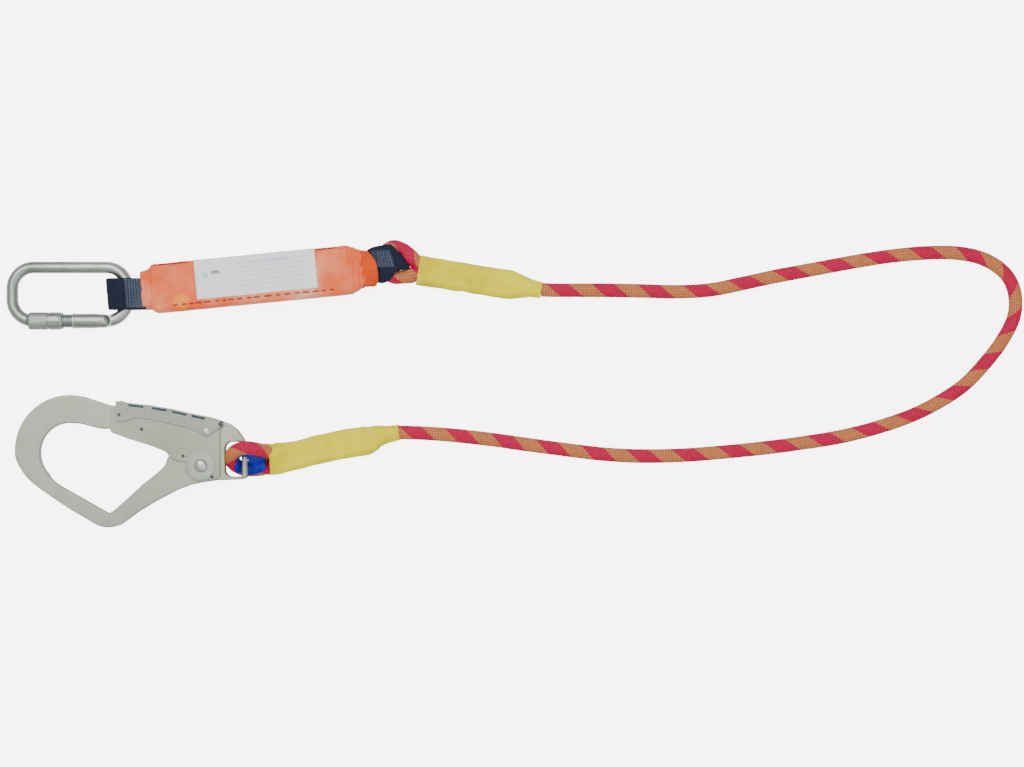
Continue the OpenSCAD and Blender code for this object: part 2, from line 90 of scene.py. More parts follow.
def grid_parts(pts, u, v, closed=True, caps=False):
    """Vertices, faces and corner UVs of a sheet of points [ring, place in ring]."""
    n, m = pts.shape[:2]
    columns = m if closed else m - 1
    i = np.repeat(np.arange(n - 1), columns)
    j = np.tile(np.arange(columns), n - 1)
    k = (j + 1) % m
    faces = np.stack([i * m + j, i * m + k, (i + 1) * m + k, (i + 1) * m + j], 1)
    corners = [(u[i], v[j]), (u[i], v[j + 1]), (u[i + 1], v[j + 1]), (u[i + 1], v[j])]
    uvs = np.stack([np.stack(c, 1) for c in corners], 1).reshape(-1, 2)
    verts = list(pts.reshape(-1, 3))
    faces = [tuple(f) for f in faces]
    uvs = list(uvs)
    if caps:
        for ring, turn in ((0, -1), (n - 1, 1)):
            centre = len(verts)
            verts.append(pts[ring].mean(0))
            for a in range(m):
                b = (a + 1) % m
                pair = (ring * m + a, ring * m + b) if turn > 0 else (ring * m + b, ring * m + a)
                faces.append((*pair, centre))
                uvs.extend([(u[ring], v[a])] * 3)
    return verts, faces, uvs


def grid_mesh(name, pts, u=None, v=None, closed=True, caps=False):
    n, m = pts.shape[:2]
    u = np.linspace(0, 1, n) if u is None else np.asarray(u)
    v = np.linspace(0, 1, m + 1 if closed else m) if v is None else np.asarray(v)
    return link_mesh(name, *grid_parts(pts, u, v, closed, caps))


def joined(name, parts):
    """Several (verts, faces, uvs) as one object."""
    verts, faces, uvs = [], [], []
    for part_verts, part_faces, part_uvs in parts:
        base = len(verts)
        verts.extend(part_verts)
        faces.extend(tuple(i + base for i in f) for f in part_faces)
        uvs.extend(part_uvs)
    return link_mesh(name, verts, faces, uvs)


def spline(points, spacing):
    """Even points along a smooth curve through given ones."""
    p = np.asarray(points, float)
    ends = np.vstack([p[0], p, p[-1]])
    t = np.linspace(0, 1, 24, endpoint=False)[:, None]
    fine = [0.5 * (2 * b + (c - a) * t
                   + (2 * a - 5 * b + 4 * c - d) * t**2 + (3 * b - a - 3 * c + d) * t**3)
            for a, b, c, d in zip(ends[:-3], ends[1:-2], ends[2:-1], ends[3:])]
    fine = np.vstack([*fine, p[-1]])
    along = np.concatenate([[0], np.cumsum(np.linalg.norm(np.diff(fine, axis=0), axis=1))])
    count = max(2, round(along[-1] / spacing) + 1)
    want = np.linspace(0, along[-1], count)
    return np.stack([np.interp(want, along, fine[:, k]) for k in range(3)], 1), want


def directions(path, first_side=None):
    """Heading, side and upward directions along a path, turning as little as possible."""
    heading = np.gradient(path, axis=0)
    heading /= np.linalg.norm(heading, axis=1)[:, None]
    side = np.cross(UP, heading[0]) if first_side is None else np.asarray(first_side, float)
    sides = []
    for h in heading:
        side = side - h * side.dot(h)
        side = side / np.linalg.norm(side)
        sides.append(side)
    sides = np.array(sides)
    return heading, sides, np.cross(heading, sides)


def smooth_noise(seed, count, waves, scale=1.0):
    """A gentle random curve made of a few sines, the same in each run."""
    rng = np.random.default_rng(seed)
    x = np.linspace(0, 1, count)
    terms = [rng.uniform(0.3, 1) * np.sin(2 * math.pi * (w * x + rng.uniform())) for w in waves]
    return scale * sum(terms) / len(terms)


def add_modifier(obj, kind, name, **values):
    modifier = obj.modifiers.new(name, kind)
    for key, value in values.items():
        setattr(modifier, key, value)
    return modifier


def place(piece, body, material, slot, *nodes):
    """Gives a piece its material and its body, hides the CAD nodes it stands for, and bakes its place when
    the body is not a name. The slot is not used.
    """
    piece.data.materials.clear()
    piece.data.materials.append(material)
    if nodes:
        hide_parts(*nodes)
    if isinstance(body, str):
        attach(piece, body)
    else:
        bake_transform(piece)
    return piece


# ---- materials ----------------------------------------------------------------------------

class Material:
    """A node material with short ways to add and join nodes."""

    def __init__(self, name, color, roughness, **sockets):
        self.material = bpy.data.materials.new(name)
        self.material.use_nodes = True
        self.nodes = self.material.node_tree.nodes
        self.links = self.material.node_tree.links
        self.shader = self.nodes["Principled BSDF"]
        self.set("Base Color", (*color, 1))
        self.set("Roughness", roughness)
        for socket, value in sockets.items():
            self.set(socket.replace("_", " "), value)

    def set(self, socket, value):
        if isinstance(value, bpy.types.NodeSocket):
            self.links.new(value, self.shader.inputs[socket])
        else:
            self.shader.inputs[socket].default_value = value

    def add(self, kind, inputs=(), output=0, **settings):
        node = self.nodes.new("ShaderNode" + kind)
        for key, value in settings.items():
            setattr(node, key, value)
        for key, value in dict(inputs).items():
            if isinstance(value, bpy.types.NodeSocket):
                self.links.new(value, node.inputs[key])
            else:
                node.inputs[key].default_value = value
        return node.outputs[output]

    def math(self, operation, *values):
        return self.add("Math", {i: v for i, v in enumerate(values)}, operation=operation)

    def mul(self, a, b):
        return self.math("MULTIPLY", a, b)

    def plus(self, a, b):
        return self.math("ADD", a, b)

    def uv(self):
        place_at = self.add("TexCoord", output="UV")
        split = self.add("SeparateXYZ", {0: place_at}).node
        return split.outputs[0], split.outputs[1]

    def where(self):
        return self.add("TexCoord", output="Object")

    def noise(self, scale, detail=3.0, roughness=0.55, vector=None):
        inputs = {"Scale": scale, "Detail": detail, "Roughness": roughness,
                  "Vector": vector or self.where()}
        return self.add("TexNoise", inputs, output="Fac")

    def ramp(self, fac, *stops):
        ramp = self.add("ValToRGB", {0: fac}).node
        elements = ramp.color_ramp.elements
        while len(elements) < len(stops):
            elements.new(0.5)
        for element, (at, color) in zip(elements, stops):
            element.position = at
            element.color = (*color, 1)
        return ramp.outputs[0]

    def levels(self, fac, low, high):
        """Takes 0 to 1 to low to high."""
        return self.add("MapRange", {0: fac, 3: low, 4: high})

    def mix(self, fac, a, b):
        def color(value):
            return value if isinstance(value, bpy.types.NodeSocket) else (*value, 1)
        node = self.add("Mix", data_type="RGBA").node
        for socket, value in ((0, fac), (6, color(a)), (7, color(b))):
            if isinstance(value, bpy.types.NodeSocket):
                self.links.new(value, node.inputs[socket])
            else:
                node.inputs[socket].default_value = value
        return node.outputs[2]

    def bump(self, height, distance, strength):
        inputs = {"Height": height, "Distance": distance, "Strength": strength}
        return self.add("Bump", inputs, output="Normal")

    def done(self, color, bump, rough=None):
        """The material with its colour, (height, distance, strength) and (noise, low, high)."""
        self.set("Base Color", color)
        self.set("Normal", self.bump(*bump))
        if rough:
            self.set("Roughness", self.levels(*rough))
        return self.material


ROPE_PITCH = 0.041
ROPE_STRANDS = 16


def rope_material():
    """Braided cover: crimson strands, with a helical band where one direction's are gold."""
    m = Material("rope_braid", (0.5, 0.01, 0.03), 0.7, Specular_IOR_Level=0.2)
    along, round_ = m.uv()
    one_way = m.math("SUBTRACT", round_, along)
    other_way = m.plus(round_, along)
    a = m.mul(one_way, ROPE_STRANDS)
    b = m.mul(other_way, ROPE_STRANDS)
    cell = m.plus(m.math("FLOOR", a), m.math("FLOOR", b))
    over = m.math("LESS_THAN", m.math("PINGPONG", cell, 1.0), 0.5)
    band = m.math("LESS_THAN", m.math("FRACT", one_way), 0.5)
    gold = m.mul(over, band)
    fuzz = m.noise(900.0, 4.0)
    red = m.ramp(fuzz, (0.25, (0.40, 0.000, 0.035)), (0.75, (0.76, 0.010, 0.090)))
    tan = m.ramp(fuzz, (0.25, (0.46, 0.19, 0.035)), (0.75, (0.76, 0.38, 0.10)))
    under = m.mul(m.math("SUBTRACT", band, gold), 0.42)
    color = m.mix(gold, m.mix(under, red, tan), tan)
    ridge_a = m.math("SINE", m.mul(m.math("FRACT", a), math.pi))
    ridge_b = m.math("SINE", m.mul(m.math("FRACT", b), math.pi))
    ridge = m.mul(m.math("SQRT", m.math("ABSOLUTE", ridge_a)), m.math("SQRT", m.math("ABSOLUTE", ridge_b)))
    # Painted shade: the grooves between strands are darkened, by a random depth.
    groove_shade_depth = m.noise(60.0)
    color_with_groove_shade = m.mix(m.levels(ridge, 0.55, 0.0), color, m.mix(groove_shade_depth, (0.14, 0.002, 0.010), color))
    yarn = m.math("SINE", m.mul(a, 12 * math.pi))
    return m.done(color_with_groove_shade, (m.plus(ridge, m.mul(yarn, 0.12)), 0.0004, 0.6), (fuzz, 0.5, 0.78))


WEB_RIB = 0.0016


def webbing_material(name, dark, light):
    """Woven strap. UVs are in metres: along the strap, then across it."""
    m = Material(name, dark, 0.75, Specular_IOR_Level=0.25)
    along, across = m.uv()
    chevron = m.math("PINGPONG", across, 0.004)
    twill = m.plus(m.math("DIVIDE", along, WEB_RIB), m.math("DIVIDE", chevron, WEB_RIB))
    rows = m.math("SINE", m.mul(twill, 2 * math.pi))
    warp = m.math("SINE", m.mul(across, 2 * math.pi / 0.0011))
    weave = m.plus(m.mul(rows, 0.6), m.mul(warp, 0.4))
    fuzz = m.noise(700.0, 5.0)
    wear = m.noise(45.0, 3.0)
    shade = m.plus(m.levels(weave, -0.1, 0.35), m.mul(wear, 0.5))
    color = m.ramp(m.plus(m.mul(shade, 0.8), m.mul(fuzz, 0.25)), (0.2, dark), (0.75, light))
    return m.done(color, (m.plus(weave, m.mul(fuzz, 0.5)), 0.0003, 0.7), (fuzz, 0.6, 0.85))


def shrink_material():
    """Yellow heat-shrink tube, satin, with fine lengthwise draw lines."""
    m = Material("shrink_yellow", (0.80, 0.70, 0.0), 0.5, Specular_IOR_Level=0.08)
    along, round_ = m.uv()
    stretched = m.add("CombineXYZ", {0: m.mul(along, 40.0), 1: m.mul(round_, 34.0)})
    lines = m.noise(1.0, 4.0, vector=stretched)
    cloud = m.noise(38.0, 4.0)
    color = m.ramp(cloud, (0.3, (0.66, 0.52, 0.0)), (0.5, (0.80, 0.70, 0.0)), (0.75, (0.90, 0.82, 0.0)))
    return m.done(color, (m.plus(m.mul(lines, 0.5), cloud), 0.0007, 0.35), (lines, 0.26, 0.46))


def film_material():
    """Salmon film shrunk over the folded orange webbing: strong colour where it touches."""
    m = Material("cover_film", (0.93, 0.20, 0.07), 0.36, Specular_IOR_Level=0.22)
    cloud = m.noise(15.0, 3.0)
    creases = m.noise(55.0, 5.0)
    touch = m.ramp(m.plus(m.mul(cloud, 0.75), m.mul(creases, 0.25)),
                   (0.34, (0.88, 0.080, 0.010)), (0.48, (0.94, 0.140, 0.035)), (0.58, (0.97, 0.280, 0.130)),
                   (0.68, (0.98, 0.480, 0.350)))

    def spot(x, y, near, far):
        """1 within one distance of a place on top of the cover, falling to 0 at another."""
        apart = m.add("VectorMath", {0: m.where(), 1: (x, y, 0.024)}, output="Value", operation="DISTANCE")
        return m.add("MapRange", {0: apart, 1: near, 2: far, 3: 1.0, 4: 0.0})

    color = m.mix(m.mul(spot(-0.0804, 0.0742, 0.004, 0.0095), 0.7), touch, (0.98, 0.34, 0.02))
    color = m.mix(m.mul(spot(0.0506, 0.0917, 0.005, 0.013), 0.75), color, (0.90, 0.11, 0.012))
    return m.done(color, (m.plus(creases, cloud), 0.0012, 0.4), (creases, 0.24, 0.48))


def steel_material(name, low, high, roughness):
    """Zinc-plated steel: cloudy plating, fine grain and faint handling marks."""
    m = Material(name, low, roughness, Metallic=0.85)
    cloud = m.noise(30.0, 5.0)
    fine = m.noise(1620.0, 3.0)
    marks = m.noise(180.0, 6.0, 0.7)
    color = m.ramp(m.plus(m.mul(cloud, 0.7), m.mul(marks, 0.3)), (0.3, low), (0.7, high))
    dull = m.plus(m.mul(marks, 0.6), m.mul(cloud, 0.4))
    return m.done(color, (m.plus(fine, m.mul(marks, 0.6)), 0.00012, 0.5),
                  (dull, roughness - 0.1, roughness + 0.14))


def plastic_material(name, low, high, roughness):
    m = Material(name, low, roughness, Specular_IOR_Level=0.3)
    cloud = m.noise(120.0, 4.0)
    grain = m.noise(1500.0, 2.0)
    return m.done(m.ramp(cloud, (0.35, low), (0.7, high)), (grain, 0.0001, 0.4),
                  (cloud, roughness - 0.08, roughness + 0.1))


def thread_material(name, low, high):
    m = Material(name, low, 0.65, Specular_IOR_Level=0.25)
    fuzz = m.noise(1200.0, 3.0)
    return m.done(m.ramp(fuzz, (0.3, low), (0.7, high)), (fuzz, 0.0002, 0.6))


def label_material():
    """White film label with plain broken bars, two small blocks and a smudge, and no lettering."""
    m = Material("label_film", (0.92, 0.915, 0.91), 0.42)
    along, across = m.uv()

    def inside(value, low, high):
        return m.mul(m.math("GREATER_THAN", value, low), m.math("LESS_THAN", value, high))

    rows = m.math("LESS_THAN", m.math("FRACT", m.mul(across, 9.0)), 0.35)
    bars = m.mul(rows, m.mul(inside(along, 0.34, 0.93), inside(across, 0.12, 0.88)))
    ragged = m.math("GREATER_THAN", m.noise(14.0, 1.0), 0.44)
    square = m.mul(inside(along, 0.135, 0.205), inside(across, 0.59, 0.67))
    patch = m.mul(inside(along, 0.065, 0.105), inside(across, 0.52, 0.62))
    paper = m.ramp(m.noise(40.0), (0.3, (0.90, 0.895, 0.90)), (0.7, (0.98, 0.97, 0.96)))
    color = m.mix(m.mul(m.mul(bars, ragged), 0.34), paper, (0.50, 0.58, 0.70))
    color = m.mix(m.mul(square, 0.75), color, (0.05, 0.06, 0.10))
    color = m.mix(m.mul(patch, 0.60), color, (0.15, 0.42, 0.60))
    smudge = m.mul(inside(along, 0.46, 0.78), inside(across, 0.74, 0.86))
    color = m.mix(m.mul(smudge, 0.25), color, (0.20, 0.45, 0.80))
    return m.done(color, (m.noise(25.0), 0.0006, 0.3))


def floor_material():
    """Pale matt floor that glows to the camera only, so that it lights nothing."""
    m = Material("floor", (0.93, 0.93, 0.93), 0.75)
    pale = m.ramp(m.noise(6.0), (0.3, (0.925, 0.925, 0.925)), (0.7, (0.935, 0.935, 0.935)))
    m.set("Base Color", pale)
    m.set("Emission Color", pale)
    m.set("Emission Strength", m.mul(m.add("LightPath"), 6.0))
    return m.material


ROPE = rope_material()
NAVY = webbing_material("webbing_navy", (0.003, 0.007, 0.022), (0.022, 0.034, 0.070))
# Lighter copy of the navy webbing: a painted highlight for the straps' lit top layers.
NAVY_HIGHLIGHT = webbing_material("webbing_navy_highlight", (0.018, 0.028, 0.052), (0.080, 0.105, 0.150))
ORANGE = webbing_material("webbing_orange", (0.72, 0.035, 0.004), (0.98, 0.20, 0.012))
SHRINK = shrink_material()
FILM = film_material()
HOOK_ZINC = steel_material("hook_zinc", (0.355, 0.375, 0.295), (0.455, 0.475, 0.385), 0.46)
GATE_ZINC = steel_material("gate_zinc", (0.300, 0.320, 0.245), (0.400, 0.420, 0.335), 0.44)
STEEL = steel_material("carabiner_zinc", (0.22, 0.255, 0.225), (0.46, 0.50, 0.45), 0.27)
BRIGHT = steel_material("bright_steel", (0.42, 0.44, 0.41), (0.60, 0.61, 0.58), 0.26)
# Dark steel for the small pins, also used as painted shade for the gap at the lever's end.
DARK_PIN_AND_GAP_SHADE = steel_material("dark_pin_and_gap_shade", (0.045, 0.05, 0.05), (0.10, 0.11, 0.10), 0.45)
SLEEVE_STEEL = steel_material("sleeve_zinc", (0.30, 0.335, 0.295), (0.46, 0.50, 0.45), 0.36)
THREAD_STEEL = steel_material("thread_steel", (0.12, 0.14, 0.13), (0.28, 0.31, 0.29), 0.30)
WASHER_ZINC = steel_material("washer_zinc", (0.30, 0.34, 0.29), (0.42, 0.46, 0.41), 0.38)
LEVER_ZINC = steel_material("lever_zinc", (0.255, 0.285, 0.235), (0.345, 0.375, 0.315), 0.42)
SPRING = steel_material("spring_steel", (0.18, 0.18, 0.18), (0.32, 0.32, 0.32), 0.30)
BLUE = plastic_material("thimble_blue", (0.0, 0.004, 0.24), (0.0, 0.016, 0.46), 0.42)
THREAD = thread_material("thread", (0.085, 0.115, 0.17), (0.24, 0.28, 0.36))
# Dark red for the painted shade dashes on the cover.
RED_SHADE_DASH = thread_material("shade_dash_red", (0.30, 0.006, 0.003), (0.50, 0.018, 0.008))
# Dark colour for painted shade seen through the lever's slots.
SLOT_SHADE = plastic_material("slot_shade_dark", (0.030, 0.048, 0.072), (0.075, 0.105, 0.14), 0.5)
LABEL = label_material()


# ---- rope, its eyes, sleeves and thimble (route points in millimetres) ---------------------

ROPE_R = 6.25
ROPE_ROUTE = [
    (240, 85, 7), (252, 84.6, 6.4), (270, 84.6, 6), (300, 84.5, 6), (330, 84, 6), (362, 83.2, 6),
    (392, 85, 6), (420, 90.5, 6), (450, 97, 6), (485, 103.5, 6), (520, 110, 6), (552, 115, 6),
    (584, 118, 6), (612, 118, 6), (636, 113, 6), (655, 101, 6), (664.5, 84, 6), (664.5, 62, 6),
    (654, 40, 6), (639, 20, 6), (620, 0, 6), (598, -15, 6), (572, -28, 6), (540, -39, 6),
    (508, -47, 6), (474, -52.5, 6), (440, -57, 6), (400, -61, 6), (366, -63.5, 6),
    (330, -64.2, 6), (296, -62.5, 6), (262, -58.5, 6), (228, -54, 6), (196, -49.5, 6),
    (160, -45.5, 6), (132, -43.5, 6.2), (110, -43, 7)]
EYE_A_ROUTE = [
    (240, 85, 7), (232, 86.5, 7), (220, 90.5, 7), (200, 97.5, 7), (165, 103, 7), (140, 107, 7.4),
    (131, 108.6, 8), (123.2, 113.9, 9), (116.8, 120.4, 9.6), (108, 123.6, 10), (101, 120, 10.4),
    (97.6, 115, 10.4), (97, 110, 10.4), (97.6, 105, 10.4), (101, 100, 10.4), (108, 96.2, 10),
    (116, 96.4, 9.4), (128, 98.6, 8), (140, 95.2, 7.2), (165, 91, 7), (195, 85.6, 7), (212, 83, 7)]
EYE_H_C = np.array([-20.95, -66.4, 18.4])
EYE_H_R = 16
EYE_H_TILT = math.radians(50)
EYE_X = np.array([1.0, 0, 0])
EYE_Y = np.array([0, math.cos(EYE_H_TILT), math.sin(EYE_H_TILT)])
EYE_N = np.array([0, -math.sin(EYE_H_TILT), math.cos(EYE_H_TILT)])


def on_eye(degrees, r=EYE_H_R):
    a = math.radians(degrees)
    return EYE_H_C + r * (math.cos(a) * EYE_X + math.sin(a) * EYE_Y)


EYE_H_ROUTE = [
    (110, -43, 7), (102, -44.6, 7), (90, -44.6, 7), (70, -46, 7), (40, -52.4, 7), (20, -57.8, 8),
    (10, -59.6, 11.2), (2, -60.6, 16.5), (-6, -59.3, 23.5), (-13, -57.4, 28.6),
    *[tuple(on_eye(a)) for a in range(92, 269, 22)],
    (-13, -76.3, 6.1), (-5, -74.6, 6.3), (4, -72.4, 6.6), (14, -70, 7), (26, -67.4, 7),
    (40, -64.4, 7), (64, -59.5, 7), (82, -56.2, 7)]


def braid_tube(name, route, r, spacing, sides, start=0.0, swollen_at=None):
    """A rope whose strands stand out of its surface. UVs: lays along it, turns round it."""
    path, along = spline(route, spacing)
    _, side, up = directions(path)
    lays = start + along * MM / ROPE_PITCH
    turn = np.arange(sides + 1) / sides
    v, u = turn[None, :-1], lays[:, None]
    rib = np.abs(np.sin(math.pi * ROPE_STRANDS * (v - u))) * np.abs(np.sin(math.pi * ROPE_STRANDS * (v + u)))
    soft = smooth_noise(5, len(path), (7, 19, 43, 90), 0.14)[:, None]
    radius = r + soft + 0.26 * (np.sqrt(rib) - 0.6)
    if swollen_at is not None:
        radius = radius + 1.4 * np.exp(-(((path[:, :1] - swollen_at) / 4.5) ** 2))
    angle = 2 * math.pi * v
    ring = (np.cos(angle)[..., None] * side[:, None] + np.sin(angle)[..., None] * up[:, None])
    pts = path[:, None] + radius[..., None] * ring
    pts[..., 2] = np.maximum(pts[..., 2], 0.05)
    return grid_mesh(name, pts * MM, lays, turn, caps=True), path * MM


def make_ropes():
    rope, path = braid_tube("free_rope", ROPE_ROUTE, ROPE_R, 0.8, 48)
    place(rope, "rope", ROPE, "rope", "rope")
    eye_a, _ = braid_tube("absorber_eye_rope", EYE_A_ROUTE, 6.0, 0.8, 48, 0.37, swollen_at=123)
    place(eye_a, "rope", ROPE, "rope", "rope_eye_absorber")
    eye_h, _ = braid_tube("hook_eye_rope", EYE_H_ROUTE, 6.0, 0.8, 48, 0.12)
    place(eye_h, "rope", ROPE, "rope", "rope_eye_hook")


SLEEVE_R = 7.05
SLEEVE_WAIST = 0.7
SLEEVE_SIDES = 72


def sleeve_mesh(name, stations, seed, lean=0.0, fuller=0.0):
    """A tube shrunk over two strands, from (centre, half the strands' spacing, roll).
    Its mouth leans back and is made fuller by the amounts given."""
    centres, along = spline([s[0] for s in stations], 1.2)
    at = np.array([np.linalg.norm(centres - s[0], axis=1).argmin() for s in stations])
    half = np.interp(np.arange(len(centres)), at, [s[1] for s in stations])
    roll = np.radians(np.interp(np.arange(len(centres)), at, [s[2] for s in stations]))
    heading, _, _ = directions(centres)
    side = np.cross(UP, heading)
    side /= np.linalg.norm(side, axis=1)[:, None]
    up = np.cross(heading, side)
    s2 = side * np.cos(roll)[:, None] + up * np.sin(roll)[:, None]
    u2 = up * np.cos(roll)[:, None] - side * np.sin(roll)[:, None]
    v = np.arange(SLEEVE_SIDES + 1) / SLEEVE_SIDES
    angle = 2 * math.pi * v[:-1]
    rng = np.random.default_rng(seed)
    crinkle = np.zeros((len(centres), SLEEVE_SIDES))
    for _ in range(26):
        k, w = rng.integers(1, 7), rng.uniform(0.02, 0.45)
        crinkle += rng.uniform(0.2, 1) * np.sin(k * angle[None] + w * along[:, None] + rng.uniform(0, 6.28))
    crinkle *= 0.075
    rows = []
    for i, centre in enumerate(centres):
        flat = np.sign(np.cos(angle)) * half[i]
        blend_w = np.clip(np.abs(np.cos(angle)) / 0.22, 0, 1)
        flat = flat * blend_w
        pinch = SLEEVE_WAIST * np.clip(half[i] / 6, 0, 1) * np.exp(-((np.cos(angle) / 0.28) ** 2))
        radius = SLEEVE_R + crinkle[i] - pinch + fuller * math.exp(-((along[i] - 11) / 9) ** 2)
        ring = (centre + (flat + radius * np.cos(angle))[:, None] * s2[i]
                + (radius * np.sin(angle))[:, None] * u2[i])
        cut = lean * np.clip(1 - along[i] / 16, 0, 1)
        ring[:, 0] -= cut * (ring[:, 1] - centre[1])
        ring[:, 2] = np.maximum(ring[:, 2], 0.05)
        rows.append(ring)
    outer = np.array(rows)

    def inward(ring, by):
        middle = ring.mean(0)
        return ring + (middle - ring) / np.linalg.norm(middle - ring, axis=1)[:, None] * by

    start = [inward(outer[4], 0.75), inward(outer[1], 0.7), inward(outer[0], 0.5), inward(outer[0], 0.15)]
    end = [inward(outer[-1], 0.15), inward(outer[-1], 0.5), inward(outer[-2], 0.7), inward(outer[-5], 0.75)]
    pts = np.array([*start, *outer, *end])
    u = np.concatenate([np.full(4, along[0]), along, np.full(4, along[-1])]) * MM / 0.03
    return grid_mesh(name, pts * MM, u, v)


def make_sleeves():
    turn = math.radians(-9.1)

    def at(d, z):
        return np.array([129.5 + d * math.cos(turn), 102.6 + d * math.sin(turn), z])

    first = [(at(0, 8), 6.8, 0), (at(12, 7.3), 6.2, 0), (at(30, 7), 6, 0), (at(60, 7), 6, 0),
             (at(84, 7), 6.3, 0), (at(94, 7), 3.4, 0), (at(104, 7), 0.7, 0), (at(112, 7), 0.1, 0)]
    piece = sleeve_mesh("absorber_shrink_sleeve", first, 3)
    place(piece, "rope", SHRINK, "sleeve_yellow", "shrink_sleeve_absorber")
    second = [((-5.2, -67.1, 13.9), 10.3, 46), ((2, -66.7, 11.5), 7.9, 39), ((10, -65.3, 9.1), 6.3, 22),
              ((20, -63.3, 7.6), 5.8, 6), ((30, -60.9, 7.1), 5.9, 1), ((40, -58.4, 7), 6, 0),
              ((66, -53, 7), 6.1, 0), ((84, -50.2, 7), 6, 0), ((93, -46.6, 7), 3.2, 0),
              ((102, -44.6, 7), 0.6, 0), ((112.5, -43, 7), 0.1, 0)]
    second = [(np.array(c, float), s, a) for c, s, a in second]
    piece = sleeve_mesh("hook_shrink_sleeve", second, 8, lean=0.24, fuller=0.9)
    place(piece, "rope", SHRINK, "sleeve_yellow", "shrink_sleeve_hook")


def make_thimble():
    """A gutter that follows the rope eye's inside, with lips and two converging legs."""
    bed = EYE_H_R - 6.1
    stops = [(14.2, 4.3), (10.5, 5.9), (6.5, 7.6), (3.2, 8.9)]
    line = [np.array([x, y]) for x, y in stops]
    turns = np.radians(range(80, 281, 8))
    line += [bed * np.array([math.cos(a), math.sin(a)]) for a in turns]
    line += [np.array([x, -y]) for x, y in reversed(stops)]
    line = np.array(line)
    tangent = np.gradient(line, axis=0)
    tangent /= np.linalg.norm(tangent, axis=1)[:, None]
    outward = np.stack([tangent[:, 1], -tangent[:, 0]], 1)
    outward *= np.sign((outward * (line - [3, 0])).sum(1))[:, None]
    rows = []
    for c, o in zip(line, outward):
        wide = min(max(-c[1] / 5, 0), 1) * min(max((17 - c[0]) / 6, 0), 1)
        a = np.radians(np.linspace(-36, 36 + 50 * wide, 17))
        rim = 6.85 + 0.75 * np.clip(np.sin(np.linspace(0, math.pi, 17)) * 2.4, 0, 1)
        rim[8:] = np.minimum(rim[8:], 7.6 - 0.4 * wide)
        out = np.concatenate([6.1 - 6.12 * np.cos(a), (6.1 - rim * np.cos(a))[::-1]])
        rise = np.concatenate([6.12 * np.sin(a), (rim * np.sin(a))[::-1]])
        x, y = (c[k] + o[k] * out for k in (0, 1))
        rows.append(EYE_H_C + x[:, None] * EYE_X + y[:, None] * EYE_Y + rise[:, None] * EYE_N)
    piece = grid_mesh("thimble_gutter", np.array(rows) * MM, caps=True)
    add_modifier(piece, "SUBSURF", "smooth", levels=1, render_levels=1)
    place(piece, "rope", BLUE, "thimble_blue", "thimble")
    outline = [(-0.95, -3.6), (-6.75, -3.6), *arc(0, 0, 9.7, 205, 306, 16), (10, -6.0),
               (14.2, -4.0), (14.2, 4.0), (10, 6.0), *arc(0, 0, 9.7, 54, 155, 16), (-6.75, 3.6), (-0.95, 3.6)]
    web = flat_plate("thimble_web", outline, -0.8, 0.8, 0.3, (EYE_H_C, EYE_X, EYE_Y, EYE_N))
    place(web, "rope", BLUE, "thimble_blue")


# ---- energy absorber ----------------------------------------------------------------------

PACK_C = np.array([-18.0, 94.0, 12.0])
PACK_TURN = math.radians(5.6)
PACK_U = np.array([math.cos(PACK_TURN), math.sin(PACK_TURN), 0])
PACK_V = np.array([-math.sin(PACK_TURN), math.cos(PACK_TURN), 0])
# Place along the pack, half width, half thickness
COVER_STATIONS = [
    (-100, 16.6, 6.3), (-98.5, 17.3, 6.9), (-96, 17.4, 7.3), (-94, 18.2, 8.3), (-92.4, 18.2, 8.5),
    (-90.6, 19.6, 9.9), (-88.8, 21.3, 11.2), (-87, 21.9, 11.8), (-83, 22.1, 12.0), (0, 22.1, 12.05),
    (83, 22.1, 12.0), (87, 21.9, 11.8), (88.8, 21.2, 11.2), (91, 20.0, 10.1), (93.5, 19.2, 9.4),
    (95.5, 17.9, 8.3), (98, 17.3, 7.7), (100.5, 16.3, 6.9), (103, 15.9, 6.4)]
COVER_SIDES = 120


def in_pack(u, v, w):
    return PACK_C + u[..., None] * PACK_U + v[..., None] * PACK_V + w[..., None] * UP


def round_box(half_w, half_t, r, count):
    """Points round a box with round corners, from the middle of its top, clockwise."""
    a = np.linspace(0, math.pi / 2, 9)
    quarter = [(half_w - r + r * math.sin(t), half_t - r + r * math.cos(t)) for t in a]
    right = [(0, half_t), *quarter, *[(x, -y) for x, y in reversed(quarter)], (0, -half_t)]
    loop = np.array(right + [(-x, y) for x, y in reversed(right[:-1])])
    along = np.concatenate([[0], np.cumsum(np.linalg.norm(np.diff(loop, axis=0), axis=1))])
    want = np.linspace(0, along[-1], count, endpoint=False)
    return np.stack([np.interp(want, along, loop[:, k]) for k in range(2)], 1), want


def cover_relief(u, v, top):
    """Height of creases and dents in the film, in millimetres."""
    ends = np.clip((np.abs(u) - 78) / 14, 0, 1)
    rings = np.sin(u * 2.3 + 0.22 * v + 0.6 * np.sin(v * 0.31)) + 0.6 * np.sin(u * 1.27 - 0.12 * v + 1.1)
    dents = np.sin(u * 0.085 + 1.2 + 0.05 * v) * np.sin(v * 0.16 + 0.7 + 0.02 * u)
    ripples = np.sin(u * 0.23 + v * 0.11 + 0.5) + np.sin(u * 0.37 - v * 0.21 + 2.0)
    pulls = np.sin((u + 3.1 * np.abs(v)) * 0.21) * np.clip((np.abs(u) - 50) / 40, 0, 1)
    return 0.42 * ends * rings + 0.30 * dents * top + 0.07 * ripples + 0.28 * pulls * top


FILM_W = -11.95, 11.98
LABEL_W = 12.02


